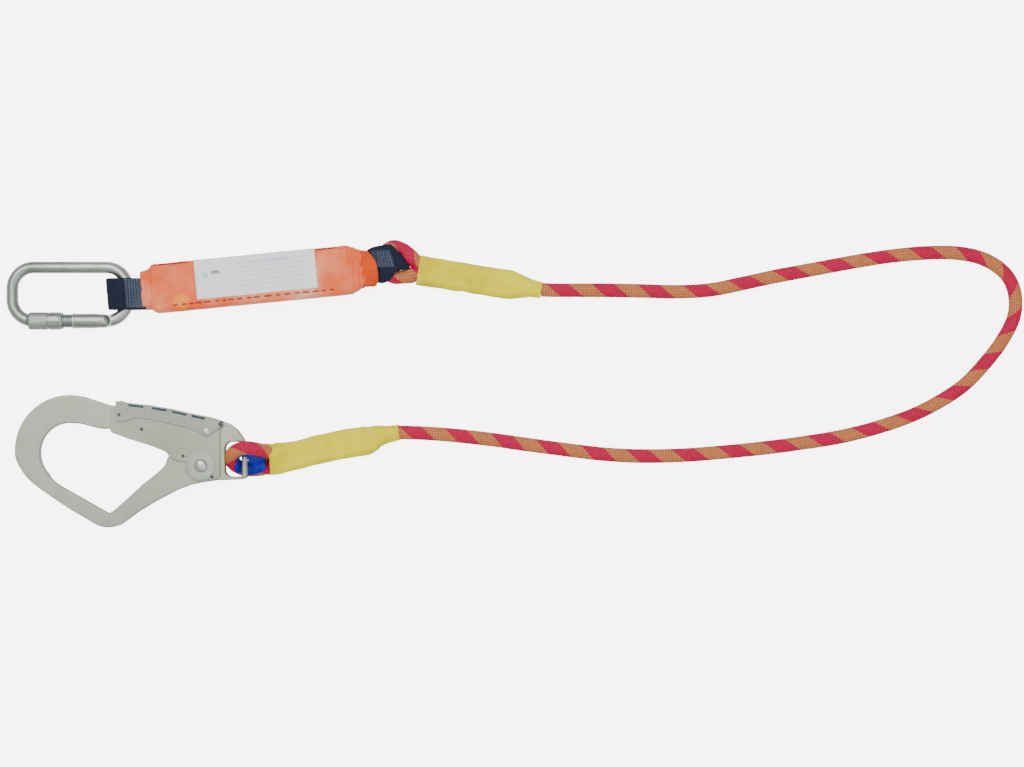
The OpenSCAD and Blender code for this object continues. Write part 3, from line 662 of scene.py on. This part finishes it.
def cover_points():
    """Rings of points round the cover with its creases, and where along it they stand."""
    table = np.array(COVER_STATIONS, float)
    u = np.concatenate([np.arange(-100, -82, 0.5), np.arange(-82, 82, 1.6), np.arange(82, 103.01, 0.5)])
    half_w, half_t = (np.interp(u, table[:, 0], table[:, k]) for k in (1, 2))
    rows = []
    for i, place_u in enumerate(u):
        ring, _ = round_box(half_w[i], half_t[i], min(5.0, half_t[i] * 0.72), COVER_SIDES)
        v, w = ring[:, 0], ring[:, 1]
        relief = cover_relief(np.full(len(v), place_u), v, np.clip(w / 8, 0, 1))
        lift = 0.35 * np.clip(1 - (v / 17) ** 2, 0, 1) * np.clip((84 - abs(place_u)) / 20, 0, 1)
        w_new = w + np.where(w > 4, relief * 0.8 - 0.35 + lift, 0)
        v_new = v + np.sign(v) * np.where(np.abs(v) > half_w[i] - 3, relief * 0.8 - 0.1, 0)
        w_new = np.clip(w_new, *FILM_W)
        rows.append(in_pack(np.full(len(v), place_u), v_new, w_new))
    return np.array(rows), u


def make_cover():
    pts, u = cover_points()
    mouth = [pts[0] + (pts[0].mean(0) - pts[0]) * k for k in (0.12, 0.05)]
    end = [pts[-1] + (pts[-1].mean(0) - pts[-1]) * k for k in (0.05, 0.12)]
    rings = np.array([mouth[0] + 3 * PACK_U, *mouth, *pts, *end, end[-1] - 3 * PACK_U])
    along = np.concatenate([np.full(3, u[0]), u, np.full(3, u[-1])]) / 100
    piece = grid_mesh("absorber_film", rings * MM, along, np.arange(COVER_SIDES + 1) / COVER_SIDES)
    add_modifier(piece, "SUBSURF", "smooth", levels=1, render_levels=1)
    place(piece, "absorber", FILM, "cover_film", "absorber_cover")


def make_cover_shade_dashes():
    """Dark red dashes at the cover's two long edges as small raised marks, painted shade: shadow lines along
    the folded webbing's lower edge and shade at the cover's rounded top edge.
    """
    marks = []
    rng = np.random.default_rng(12)
    u = -72.0
    while u < 69:
        long = rng.uniform(3.0, 6.5)
        marks.append((u, -16.4, 12.0, long))
        u += long + rng.uniform(1.6, 4.5)
    for first, last in ((-86, -56), (60, 77)):
        marks += [(u, 20.7, 10.5, 3.6) for u in np.arange(first, last, 4.4)]
    spots = [tuple(in_pack(np.array([a, a + long]), np.array([v, v]), np.array([w, w])))
             for a, v, w, long in marks]
    place(thread_marks("cover_shade_dashes", spots, 0.55), "absorber", RED_SHADE_DASH, "thread")


def make_label():
    """White label lying on the film and turned down over its upper edge."""
    u = np.linspace(-50, 58, 73)
    s = np.linspace(-13.6, 22.8, 37)
    flat_to, r = 17.2, 5.2
    bend = np.clip((s - flat_to) / r, 0, None)
    v = np.where(s <= flat_to, s, flat_to + r * np.sin(bend))
    w = np.where(s <= flat_to, LABEL_W, LABEL_W - r * (1 - np.cos(bend)))
    uu, vv = np.meshgrid(u, v, indexing="ij")
    ww = np.broadcast_to(w, uu.shape) + 0.10 + 0.04 * np.sin(uu * 0.3 + vv * 0.2) + 0.05 * np.sin(uu * 0.11)
    across = (s - s[0]) / (s[-1] - s[0])
    sheet = in_pack(uu, vv, ww) * MM
    piece = grid_mesh("printed_label", sheet, np.linspace(0, 1, len(u)), across, closed=False)
    add_modifier(piece, "SOLIDIFY", "film", thickness=0.00016, offset=-1)
    place(piece, "absorber", LABEL, "label_white", "label")


def net_sheet(net, spacing):
    """An even grid of points over a coarse net of given ones [along, across]."""
    net = np.asarray(net, float)
    rows = [spline(line, 1.0)[0] for line in net]
    count = max(len(r) for r in rows)
    t = np.linspace(0, 1, count)
    rows = [np.stack([np.interp(t, np.linspace(0, 1, len(r)), r[:, k]) for k in range(3)], 1) for r in rows]
    rows = np.array(rows)
    middle, along = spline(rows[:, count // 2], spacing)
    spots = np.linspace(0, 1, len(middle))
    columns = []
    for j in range(count):
        fine, _ = spline(rows[:, j], spacing / 2)
        columns.append(np.stack([np.interp(spots, np.linspace(0, 1, len(fine)), fine[:, k])
                                 for k in range(3)], 1))
    return np.stack(columns, 1), along


STRAP_STEP = 1.0


def strap(name, net, thickness, fray):
    """Flat webbing through a net, as thick as stated, with rounded selvedges."""
    mid, along = net_sheet(net, STRAP_STEP)
    du = np.gradient(mid, axis=0)
    dv = np.gradient(mid, axis=1)
    normal = np.cross(du, dv)
    normal /= np.linalg.norm(normal, axis=2)[..., None]
    m = mid.shape[1]
    across = np.linspace(-1, 1, m)
    half = thickness / 2 * (1 - np.abs(across) ** 14 * 0.75)
    weave = 0.05 * np.sin(along[:, None] * 2.1) + fray * np.sin(along[:, None] * 5.3 + 9 * across[None])
    top = mid + normal * (half[None, :, None] + weave[..., None])
    low = mid - normal * (half[None, :, None] + weave[..., None])
    ring = np.concatenate([top, low[:, ::-1]], 1)
    width = np.linalg.norm(np.diff(mid[len(mid) // 2], axis=0), axis=1).sum()
    v_top = (np.arange(m) / (m - 1)) * width
    v = np.concatenate([v_top, v_top[::-1], v_top[:1]]) * MM
    return grid_mesh(name, ring * MM, along * MM, v, caps=True)


def across_strap(x, z, y0, y1, slant=0.0):
    """One row of a strap's net, from its low edge to its high one."""
    return [(x + slant * (k - 0.5), y0 + (y1 - y0) * k, z) for k in np.linspace(0, 1, 5)]


def thread_marks(name, marks, r=0.36):
    """Short stitches as small arched threads, from (start, end) points in millimetres."""
    parts = []
    for start, end in marks:
        start, end = np.asarray(start, float), np.asarray(end, float)
        t = np.linspace(0, 1, 5)
        path = start + (end - start) * t[:, None] + UP * (0.28 * np.sin(math.pi * t))[:, None]
        _, side, up = directions(path, np.cross(end - start, UP))
        a = np.arange(6) * math.pi / 3
        ring = np.cos(a)[None, :, None] * side[:, None] + np.sin(a)[None, :, None] * up[:, None]
        parts.append(grid_parts((path[:, None] + r * ring) * MM, t, np.linspace(0, 1, 7), caps=True))
    return joined(name, parts)


def make_anchor_loop():
    path = [(-106, 13.0), (-112, 14.4), (-120, 16.7), (-129, 18.1), (-138, 17.6), (-144.6, 14.8),
            (-148.4, 9.4), (-146.8, 4.6), (-141.5, 1.9), (-132, 1.25), (-123, 3.0), (-114.5, 7.4),
            (-107, 10.4)]
    rows = [across_strap(x, z, 66.8, 95.2, -2.4) for x, z in path]
    piece = strap("carabiner_strap", rows, 2.0, fray=0.03)
    place(piece, "absorber", NAVY, "webbing_navy", "anchor_loop")
    # The top layer over the bar is in the lighter navy, a painted highlight where the strap bulges.
    tail = [across_strap(x, z + 1.9, 68.0, 94.4, -2.4) for x, z in
            [(-108, 13.4), (-113, 14.6), (-120, 16.6), (-126, 17.6), (-131.5, 18.2)]]
    piece = strap("carabiner_strap_tail", tail, 1.5, fray=0.05)
    place(piece, "absorber", NAVY_HIGHLIGHT, "webbing_navy")
    marks = []
    for x in (-130.0, -127.6, -125.2, -122.8, -120.4, -118.0):
        z = 20.35 - max(0, (x + 129)) * 0.155
        for y in np.arange(69.3, 93.0, 2.1):
            shift = -(y - 81) * 0.085
            marks.append(((x + shift, y, z), (x + shift + 0.9, y + 1.5, z - 0.12)))
    piece = thread_marks("carabiner_strap_stitches", marks, 0.3)
    place(piece, "absorber", THREAD, "thread", "anchor_loop_stitching")


# Rows along the rope strap, each of (x, y, z) from its low edge to its high one
ROPE_STRAP = [
    [(78, 93, 11.5), (78, 99, 12.2), (78, 106, 12.4), (78, 112, 12.2), (78, 118, 11.6)],
    [(86, 92, 12.2), (85, 98, 14.2), (84, 105, 14.9), (83.5, 112, 14.9), (83, 119.5, 14.2)],
    [(93, 91.2, 11.6), (92, 97, 15.2), (90.5, 104, 16.6), (89, 113, 16.9), (88, 122.4, 16.4)],
    [(98.5, 90.8, 11.2), (98.5, 96.4, 16.6), (98, 103.5, 19.0), (96, 113, 19.2), (94, 123.8, 18.6)],
    [(104.5, 93.4, 15.8), (105, 98.4, 18.4), (105.5, 104, 19.5), (103, 114, 19.8), (100.5, 124.8, 19.2)],
    [(112, 102.4, 18.8), (111.8, 105.0, 19.0), (111, 109, 19.2), (108.2, 116, 19.2), (105.6, 124.9, 18.9)],
    [(118.4, 103, 16.8), (117.8, 105.4, 17), (116.4, 109.4, 17.2), (113, 115.2, 17.7), (109.4, 121.4, 18)],
    [(122, 103.2, 13.2), (121, 105.6, 13.4), (119.2, 108.8, 13.6), (116.4, 112.9, 14.4), (113, 117.2, 15.8)],
    [(121.8, 103.4, 8.8), (120.8, 105.4, 8.8), (119, 108.0, 8.8), (116, 111.6, 8.9), (112.6, 115.2, 9.6)],
    [(118, 103.2, 4.4), (117, 105, 4.2), (115.4, 107.6, 4.1), (112.8, 111, 4.1), (110, 114.4, 4.4)],
    [(110, 102, 1.7), (109.6, 105, 1.5), (108.6, 108, 1.4), (107, 111, 1.4), (105.4, 114, 1.5)],
    [(99, 98, 1.3), (98.6, 102, 1.2), (98, 106, 1.2), (97.2, 110, 1.2), (96.4, 115, 1.3)],
    [(89.5, 96, 4.4), (89, 101, 4.2), (88.4, 106, 4.2), (88, 111, 4.2), (87.4, 116, 4.4)],
    [(78, 95, 10.0), (78, 100, 10.2), (78, 106, 10.4), (78, 112, 10.2), (78, 117, 10.0)]]


STRAP_BEND = ("absorber", "rope", (0.086, 0.108, 0.0104), (0.100, 0.108, 0.0104))


def make_rope_loop():
    piece = strap("rope_strap", ROPE_STRAP, 1.9, fray=0.04)
    place(piece, STRAP_BEND, NAVY, "webbing_navy", "rope_loop")
    # The top layer is in the lighter navy, a painted highlight on its lit top.
    tail = [
        [(90, 104.4, 17.7), (89.2, 109, 18.1), (88.6, 113, 18.1), (87.6, 119, 17.6)],
        [(97, 104.2, 20.2), (96.4, 109, 20.5), (95.8, 113, 20.6), (94.6, 120, 20.1)],
        [(103, 104.2, 20.9), (102.4, 109, 21.15), (101.6, 113, 21.2), (100, 120.4, 20.9)],
        [(109.6, 104.4, 20.6), (109, 109, 20.8), (107.6, 113, 20.9), (105, 120.6, 20.7)]]
    piece = strap("rope_strap_tail", tail, 1.3, fray=0.05)
    place(piece, STRAP_BEND, NAVY_HIGHLIGHT, "webbing_navy")
    marks = []
    for k in range(5):
        for y in np.arange(105.6, 118.6, 1.9):
            x = 95.4 + 2.9 * k - (y - 105) * (0.12 + 0.05 * k)
            z = 21.05 + 0.16 * min(k, 3) - 0.0022 * (y - 112) ** 2 - 0.16 * max(0, 97 - x)
            marks.append(((x, y, z), (x + 0.8, y + 1.3, z)))
    piece = thread_marks("rope_strap_stitches", marks, 0.28)
    place(piece, STRAP_BEND, THREAD, "thread", "rope_loop_stitching")


def make_webbing_end():
    """Sewn end of the tear webbing: one flap over the navy strap and one under it."""
    upper = [
        [(74, 87.4, 15.2), (74, 94, 15.6), (74, 102, 15.8), (74, 110, 15.8), (74, 118.4, 15.0)],
        [(80, 87.2, 16.6), (79.6, 94, 17.6), (79, 102, 18.0), (78.2, 110, 18.0), (77.2, 118.8, 17.4)],
        [(86, 87.2, 16.4), (87.2, 94, 18.8), (86.4, 102, 19.7), (84.8, 110, 19.5), (80.6, 119.2, 18.6)],
        [(89.6, 87.4, 14.4), (92.2, 94, 18.4), (92.0, 102, 20.3), (89.6, 110.5, 20.3), (83.6, 119.3, 19.0)],
        [(91.2, 87.8, 11.6), (94.0, 94, 17.2), (94.0, 102, 20.2), (91.8, 111, 20.5), (84.6, 119.3, 19.0)]]
    flap = strap("tear_webbing_fold", upper, 2.0, fray=0.06)
    place(flap, "absorber", ORANGE, "webbing_orange", "webbing_end")
    lower = [[(x, 88.5, z), (x, 98, z), (x - 0.5, 108, z), (x - 1, 117, z)]
             for x, z in ((73, 6.4), (77, 6.2), (81, 5.6))]
    flap = strap("tear_webbing_fold.low", lower, 2.0, fray=0.06)
    place(flap, "absorber", ORANGE, "webbing_orange")


# ---- metal parts --------------------------------------------------------------------------

def refined(node, name, body, material, slot, bevel, dissolve=True):
    """A copy of a CAD piece with its edges eased by the bevel in mm, smooth where it is round."""
    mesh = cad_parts[node].data.copy()
    mesh.name = name
    bm = bmesh.new()
    bm.from_mesh(mesh)
    bmesh.ops.remove_doubles(bm, verts=bm.verts, dist=0.00002)
    if dissolve:
        bmesh.ops.dissolve_limit(bm, angle_limit=math.radians(0.6), verts=bm.verts, edges=bm.edges)
    bm.to_mesh(mesh)
    bm.free()
    piece = linked(name, mesh)
    add_modifier(piece, "BEVEL", "ease", width=bevel * MM, segments=2, limit_method="ANGLE",
                 angle_limit=math.radians(32), harden_normals=False, use_clamp_overlap=True)
    apply_modifiers(piece)
    even_shading(piece, 30)
    return place(piece, body, material, slot, node)


def even_shading(piece, sharp):
    """Smooth shading that keeps flat faces flat."""
    piece.data.shade_smooth()
    piece.data.set_sharp_from_angle(angle=math.radians(sharp))
    add_modifier(piece, "WEIGHTED_NORMAL", "flats", keep_sharp=True, weight=80)
    apply_modifiers(piece)


def evaluated(obj):
    """A mesh of an object as it stands with its modifiers or curve settings."""
    graph = bpy.context.evaluated_depsgraph_get()
    return bpy.data.meshes.new_from_object(obj.evaluated_get(graph), depsgraph=graph)


def apply_modifiers(piece):
    """Bakes the modifiers into the mesh."""
    done = evaluated(piece)
    piece.modifiers.clear()
    old = piece.data
    piece.data = done
    bpy.data.meshes.remove(old)


def lathe(name, origin, axis, profile, sides=64, relief=None, caps=True):
    """Turned part from (height along the axis, radius); relief adds to a radius by height and turn."""
    axis = np.asarray(axis, float) / np.linalg.norm(axis)
    first = np.cross(axis, [0, 1, 0.001])
    first /= np.linalg.norm(first)
    second = np.cross(axis, first)
    h, r = np.array(profile, float).T
    v = np.arange(sides + 1) / sides
    angle = 2 * math.pi * v[:-1]
    radius = np.repeat(r[:, None], sides, 1)
    if relief is not None:
        radius = radius + relief(h[:, None], angle[None])
    ring = np.cos(angle)[:, None] * first + np.sin(angle)[:, None] * second
    pts = np.asarray(origin, float) + h[:, None, None] * axis + radius[..., None] * ring[None]
    piece = grid_mesh(name, pts * MM, h * MM, v, caps=caps)
    piece.data.set_sharp_from_angle(angle=math.radians(40))
    return piece


CARABINER_C = np.array([-182.5, 81.0, 8.0])
GATE_Y = -24.0
THREAD_PITCH = 1.5


def at_gate(x):
    return CARABINER_C + [x, GATE_Y, 0]


def make_carabiner():
    steel = STEEL, "carabiner_steel"
    refined("carabiner_body", "carabiner_bar", "carabiner", *steel, 0.45, dissolve=False)
    refined("carabiner_gate", "carabiner_gate_bar", "carabiner_gate", *steel, 0.3, dissolve=False)
    refined("carabiner_hinge_pin", "carabiner_hinge_rivet", "carabiner_gate", BRIGHT, "pin_steel", 0.35)
    profile = [(-6.5, 6.12), (-37, 6.12), (-37, 7.1), (-36.6, 7.5), (-35.7, 7.6)]
    knurl = np.arange(-35.2, -20.4, 0.45)
    profile += [(-35.4, 7.85), *[(x, 7.9) for x in knurl], (-20.2, 7.85), (-19.8, 7.3), (-18.6, 7.3)]
    profile += [(-18.2, 7.85), *[(x, 7.9) for x in np.arange(-17.6, -9.4, 0.6)], (-9.0, 7.85), (-8.6, 7.5)]
    profile += [(-7.4, 7.5), (-6.9, 7.2), (-6.5, 6.9), (-6.5, 6.12)]

    def knurled(h, angle):
        lines = np.abs(np.sin(18 * angle + h * 1.25)) * np.abs(np.sin(18 * angle - h * 1.25))
        zone = (h > -35.3) & (h < -20.3)
        flutes = np.clip(np.cos(12 * angle), 0.2, 1) * ((h > -17.9) & (h < -9.1))
        return np.where(zone, -0.42 * (1 - np.sqrt(lines)), 0.0) - 0.16 * (flutes > 0) * (1 - flutes)

    sleeve = lathe("screw_sleeve_knurled", at_gate(0), (1, 0, 0), profile, 216, knurled, caps=False)
    place(sleeve, "screw_sleeve", SLEEVE_STEEL, "carabiner_steel", "carabiner_sleeve")
    heights = np.arange(-6.3, 2.6, 0.14)

    def thread(h, angle):
        ridge = 1 - 2 * np.abs(((h / THREAD_PITCH + angle / (2 * math.pi)) % 1.0) - 0.5)
        return 0.30 * ridge * ((h > -6.1) & (h < 2.4))

    profile = [(heights[0], 5.2), *[(h, 5.78) for h in heights], (heights[-1], 5.2)]
    piece = lathe("gate_thread", at_gate(0), (1, 0, 0), profile, 72, thread)
    place(piece, "carabiner_gate", THREAD_STEEL, "carabiner_steel")
    ring = [(4.4, 5.9), (2.55, 5.9), (2.55, 6.7), (2.85, 7.0), (4.1, 7.0), (4.4, 6.7), (4.4, 5.9)]
    piece = lathe("gate_collar", at_gate(0), (1, 0, 0), ring, 64, caps=False)
    place(piece, "carabiner_gate", BRIGHT, "carabiner_steel")
    for side in (-1, 1):
        dome = [(0, 0.05), (0, 2.5), (0.35, 2.4), (0.7, 1.9), (0.9, 1.0), (0.95, 0.05)]
        spot = CARABINER_C + [30, GATE_Y, side * 5.9]
        piece = lathe(f"gate_rivet_head.{'top' if side > 0 else 'low'}", spot, (0, 0, side), dome, 40)
        place(piece, "carabiner_gate", BRIGHT, "pin_steel")


# The hook lies on the hoop's far edge, with the rim of its rope eye lifted to RIM_AT
RIM_AT = np.array([-24.75, -59.85, 18.4])
RIM_X = 158.4
HOOP_OUT = 49.5
HALF_PLATE = 4
HOOK_TILT = math.asin((RIM_AT[2] - HALF_PLATE) / (RIM_X + HOOP_OUT - 0.3))
HOOK_X = np.array([math.cos(HOOK_TILT), 0, math.sin(HOOK_TILT)])
HOOK_Z = np.array([-math.sin(HOOK_TILT), 0, math.cos(HOOK_TILT)])


def in_hook(x, y, z):
    return RIM_AT + (x - RIM_X) * HOOK_X + np.array([0, y, 0]) + z * HOOK_Z


def arc(cx, cy, r, start, end, n):
    a = np.radians(np.linspace(start, end, n + 1))
    return [(cx + r * math.cos(t), cy + r * math.sin(t)) for t in a]


def round_bar(x0, y0, x1, y1, half_w):
    """Outline of a slot with round ends."""
    turn = math.degrees(math.atan2(y1 - y0, x1 - x0))
    return arc(x1, y1, half_w, turn - 90, turn + 90, 8) + arc(x0, y0, half_w, turn + 90, turn + 270, 8)


def hook_plate(name, outline, z0, z1, ease, holes=()):
    """A plate with rounded edges, from outlines in the hook's own plane."""
    origin = RIM_AT - RIM_X * HOOK_X
    return flat_plate(name, outline, z0, z1, ease, (origin, HOOK_X, np.array([0, 1, 0]), HOOK_Z), holes)


def flat_plate(name, outline, z0, z1, ease, plane, holes=()):
    """A plate with rounded edges, from outlines in a plane given by a point and three directions."""
    curve = bpy.data.curves.new(name, "CURVE")
    curve.dimensions = "2D"
    curve.fill_mode = "BOTH"
    curve.bevel_resolution = 3
    curve.bevel_depth = ease * MM
    curve.offset = -ease * MM
    curve.extrude = ((z1 - z0) / 2 - ease) * MM
    for loop, way in [(outline, 1), *[(hole, -1) for hole in holes]]:
        xy = np.array(loop, float)
        area = (xy[:, 0] * np.roll(xy[:, 1], -1) - np.roll(xy[:, 0], -1) * xy[:, 1]).sum()
        xy = xy if area * way > 0 else xy[::-1]
        line = curve.splines.new("POLY")
        line.points.add(len(xy) - 1)
        line.points.foreach_set("co", np.column_stack([xy * MM, np.zeros(len(xy)), np.ones(len(xy))]).ravel())
        line.use_cyclic_u = True
    source = linked(name + ".outline", curve)
    mesh = evaluated(source)
    bpy.data.objects.remove(source)
    flat = np.zeros(len(mesh.vertices) * 3)
    mesh.vertices.foreach_get("co", flat)
    flat = flat.reshape(-1, 3) / MM
    flat[:, 2] += (z0 + z1) / 2
    moved = plane[0] + flat[:, :1] * plane[1] + flat[:, 1:2] * plane[2] + flat[:, 2:] * plane[3]
    mesh.vertices.foreach_set("co", (moved * MM).ravel())
    bm = bmesh.new()
    bm.from_mesh(mesh)
    bmesh.ops.remove_doubles(bm, verts=bm.verts, dist=0.00001)
    bmesh.ops.recalc_face_normals(bm, faces=bm.faces)
    bm.to_mesh(mesh)
    bm.free()
    piece = linked(name, mesh)
    even_shading(piece, 50)
    return piece


HOOK_OUTLINE = [
    *arc(0.5, 0.5, 50, 88, 186, 50), (-47.8, -9.4), (-45.6, -13.8), (-42.6, -18.6), (-39, -23.2),
    (-34.4, -27.8), (-27, -33.6), (-14, -42.4), (1, -52.2), (24, -65.4), (28.5, -67.2),
    (33.5, -68), (38, -68), (42, -67.3), (46, -66), (49.5, -64), (63, -54), (78, -45), (97, -35),
    (109, -30.3), (122.4, -27.4), (136, -25.5), (156, -25), (159, -24.2), (160.7, -22.3),
    *arc(147.4, -16.3, 6, 270, 180, 8), *arc(147.4, 2.6, 6, 180, 90, 8), (159.4, 8.6), (157.5, 12.6),
    (152.6, 19.2), (146.5, 24), (143.4, 25.5), (140.4, 26), (138.4, 25.6), (137, 24.5), (133, 14.9),
    (122.4, 14.7), (112.5, 12.9), (103.5, 8.6), (95.4, 1.8), (89.8, -4.7), (88, -8.6), (86.9, -12.2),
    (79.2, -19.6), (67.5, -28.6), (49.5, -45), (40, -53), (37.6, -54.6), (36, -55.2), (34, -54.6),
    (10, -41.1), (-8, -31.1), (-13.6, -27.3), (-17.2, -23.8), *arc(0, -1.5, 26.7, 225, 84, 56),
    (10.5, 24.6), (24.1, 21.1), (32, 19.9), *arc(120, -12.5, 88.5, 158.4, 144.8, 8), (42, 40.4),
    (37, 41.2), (26.1, 44.6), (12.1, 49.1)]
GATE_OUTLINE = [
    (37.8, 19.4), (39, 17), (53, 11.7), (72.5, 5.8), (86, 0.7), (88.4, -0.8), (93, -6.3), (95.5, -7.4),
    (107.5, -9.9), *arc(120, -12.5, 14.2, 185, 300, 24), (130, -26.2), (136, -22.8), (137, -21), (137, 21),
    (118, 25.5), (85, 32), (48, 38.4), (39, 38.8), (37.8, 37.6)]
LEVER_OUTLINE = [
    (44.5, 45.5), (51, 43.6), (70, 41.6), (92, 38), (108, 34.3), (127, 30.6), (137.8, 27.2), (139.4, 25.6),
    (139.6, 23), (131, 17), *arc(125, 18, 4.6, 320, 230, 8), (112, 20.5), (85, 26.5), (62, 30.6),
    (52, 26.9), (44.2, 26.6), (43, 27.8), (43, 44.4)]
GRIP_SLOTS = [
    (55.5, 41.2, 67.5, 39.9), (76.5, 38.7, 88.5, 36.7), (95, 35.4, 106.5, 32.9), (112.5, 31.6, 123, 29.5)]
GATE_WEB = [
    (38.2, 17.2), (53, 11.7), (72.5, 5.8), (84.6, 1.2), (84.6, 3.1), (72.5, 7.7), (53, 13.6), (38.2, 19)]
# Dark sheet under the lever's slots, painted shade in them.
LEVER_SLOT_SHADE = [
    (53.5, 43.2), (70, 41.4), (92, 37.8), (108, 34.1), (125.4, 30.7), (124.6, 27.4), (107.4, 30.6),
    (91.4, 34.4), (69.6, 38), (53.1, 39.9)]
LEVER_CAP = [
    (52, 43.5), (70, 41.6), (92, 38), (108, 34.3), (127, 30.6), (136, 27.8), (136, 27.0), (127, 29.8),
    (108, 33.5), (92, 37.2), (70, 40.8), (52, 42.7)]


def dome_at(name, x, y, z, r, height, body, material, side):
    """Rivet head on one side of the hook; side is 1 above its plate and -1 below."""
    profile = [(-0.4, r), (0, r), (0.25 * height, r * 0.98), (0.6 * height, r * 0.84),
               (0.88 * height, r * 0.5), (height, r * 0.18), (height, 0.02)]
    piece = lathe(name, in_hook(x, y, side * z), side * HOOK_Z, profile, 48)
    place(piece, body, material, "pin_steel")


def make_hook():
    piece = hook_plate("hook_forging", HOOK_OUTLINE, -HALF_PLATE, HALF_PLATE, 1.3)
    place(piece, "hook", HOOK_ZINC, "hook_zinc", "hook_body")
    bar = [(-14, 1.2), (-14, 3.3), (-12.6, 3), (-11, 2.8), (-8, 2.75), (8, 2.75), (11, 2.8),
           (12.6, 3), (15, 3.3), (15, 1.2)]
    piece = lathe("hook_eye_bar", in_hook(RIM_X, -9.0, 0), (0, 1, 0), bar, 40)
    place(piece, "hook", HOOK_ZINC, "hook_zinc")
    for side, tag in ((1, "top"), (-1, "low")):
        low, high = sorted((side * 4.3, side * 6.0))
        piece = hook_plate(f"gate_plate.{tag}", GATE_OUTLINE, low, high, 0.45)
        place(piece, "hook_gate", GATE_ZINC, "hook_zinc", "hook_gate")
        low, high = sorted((side * 6.3, side * 7.5))
        bars = [round_bar(*slot, 0.85) for slot in GRIP_SLOTS]
        piece = hook_plate(f"lever_flange.{tag}", LEVER_OUTLINE, low, high, 0.35, bars)
        place(piece, "lever", LEVER_ZINC, "hook_zinc", "lock_lever")
        # A dark sheet just inside each flange shows through its slots as painted shade.
        low, high = sorted((side * 6.06, side * 6.34))
        place(hook_plate(f"lever_grip.{tag}", LEVER_SLOT_SHADE, low, high, 0.05), "lever", SLOT_SHADE, "hook_zinc")
        dome_at(f"hinge_rivet_head.{tag}", 120, -12.5, 7.9, 5.4, 1.7, "hook_gate", BRIGHT, side)
        dome_at(f"lever_rivet_head.{tag}", 125, 18, 7.85, 3.0, 0.7, "hook_gate", BRIGHT, side)
        # A dark dome at the lever's end is painted shade for the gap between it and the hook body.
        dome_at(f"lever_end_gap_shade.{tag}", 138.0, 24.6, 7.45, 2.1, 0.5, "lever", DARK_PIN_AND_GAP_SHADE, side)
    place(hook_plate("gate_web", GATE_WEB, -4.4, 4.4, 0.3), "hook_gate", GATE_ZINC, "hook_zinc")
    place(hook_plate("lever_cap", LEVER_CAP, -6.4, 6.4, 0.3), "lever", LEVER_ZINC, "hook_zinc")
    for node, name, body, material, bevel in (
            ("gate_rivet", "hook_rivet_shank", "hook_gate", BRIGHT, 0.4),
            ("hinge_washers", "hook_hinge_washers", "hook_gate", WASHER_ZINC, 0.25),
            ("spring_anchor_pins", "hook_spring_anchors", "hook_gate", DARK_PIN_AND_GAP_SHADE, 0.3),
            ("latch_pin", "hook_latch_pin", "lever", DARK_PIN_AND_GAP_SHADE, 0.35),
            ("lever_pin", "hook_lever_pin", "hook_gate", BRIGHT, 0.4)):
        refined(node, name, body, material, "pin_steel", bevel)


def finish_cad_pieces():
    """Materials for the small CAD pieces that stay as they are."""
    looks = {"splice_stitches_absorber": THREAD, "splice_stitches_hook": THREAD, "tear_webbing": ORANGE,
             "carabiner_plunger": BRIGHT, "carabiner_spring": SPRING, "gate_spring": SPRING,
             "lever_spring": SPRING}
    for node, material in looks.items():
        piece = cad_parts[node]
        for index in range(len(piece.material_slots)):
            piece.material_slots[index].material = material


# ---- stage --------------------------------------------------------------------------------

def make_stage():
    size = 3.2
    verts = [(-size, -size, 0), (size, -size, 0), (size, size, 0), (-size, size, 0)]
    floor = link_mesh("floor", verts, [(0, 1, 2, 3)], smooth=False)
    floor.location.z = -0.0004
    floor.data.materials.append(floor_material())
    for name, energy, size_m, place_at in (
            ("key", 26, 1.5, (-0.5, 0.9, 1.7)), ("fill", 13, 2.2, (1.1, -0.9, 1.6)),
            ("top", 12, 2.4, (0.2, 0.1, 2.6))):
        data = bpy.data.lights.new(name, "AREA")
        data.energy = energy
        data.size = size_m
        light = linked(name, data)
        light.location = place_at
        aim = Vector((0.15, 0, 0)) - light.location
        light.rotation_euler = aim.to_track_quat("-Z", "Y").to_euler()
    world = bpy.data.worlds.new("studio")
    world.use_nodes = True
    nodes, links = world.node_tree.nodes, world.node_tree.links
    coords = nodes.new("ShaderNodeTexCoord")
    split = nodes.new("ShaderNodeSeparateXYZ")
    ramp = nodes.new("ShaderNodeValToRGB")
    links.new(coords.outputs["Generated"], split.inputs[0])
    links.new(split.outputs[2], ramp.inputs[0])
    for element, (at, level) in zip(ramp.color_ramp.elements, ((0.0, 0.42), (0.75, 1.0))):
        element.position = at
        element.color = (level, level, level * 1.01, 1)
    links.new(ramp.outputs[0], nodes["Background"].inputs[0])
    nodes["Background"].inputs[1].default_value = 0.75
    bpy.context.scene.world = world


make_camera()
make_ropes()
make_sleeves()
make_thimble()
make_cover()
make_cover_shade_dashes()
make_label()
make_anchor_loop()
make_rope_loop()
make_webbing_end()
make_carabiner()
make_hook()
finish_cad_pieces()
make_stage()
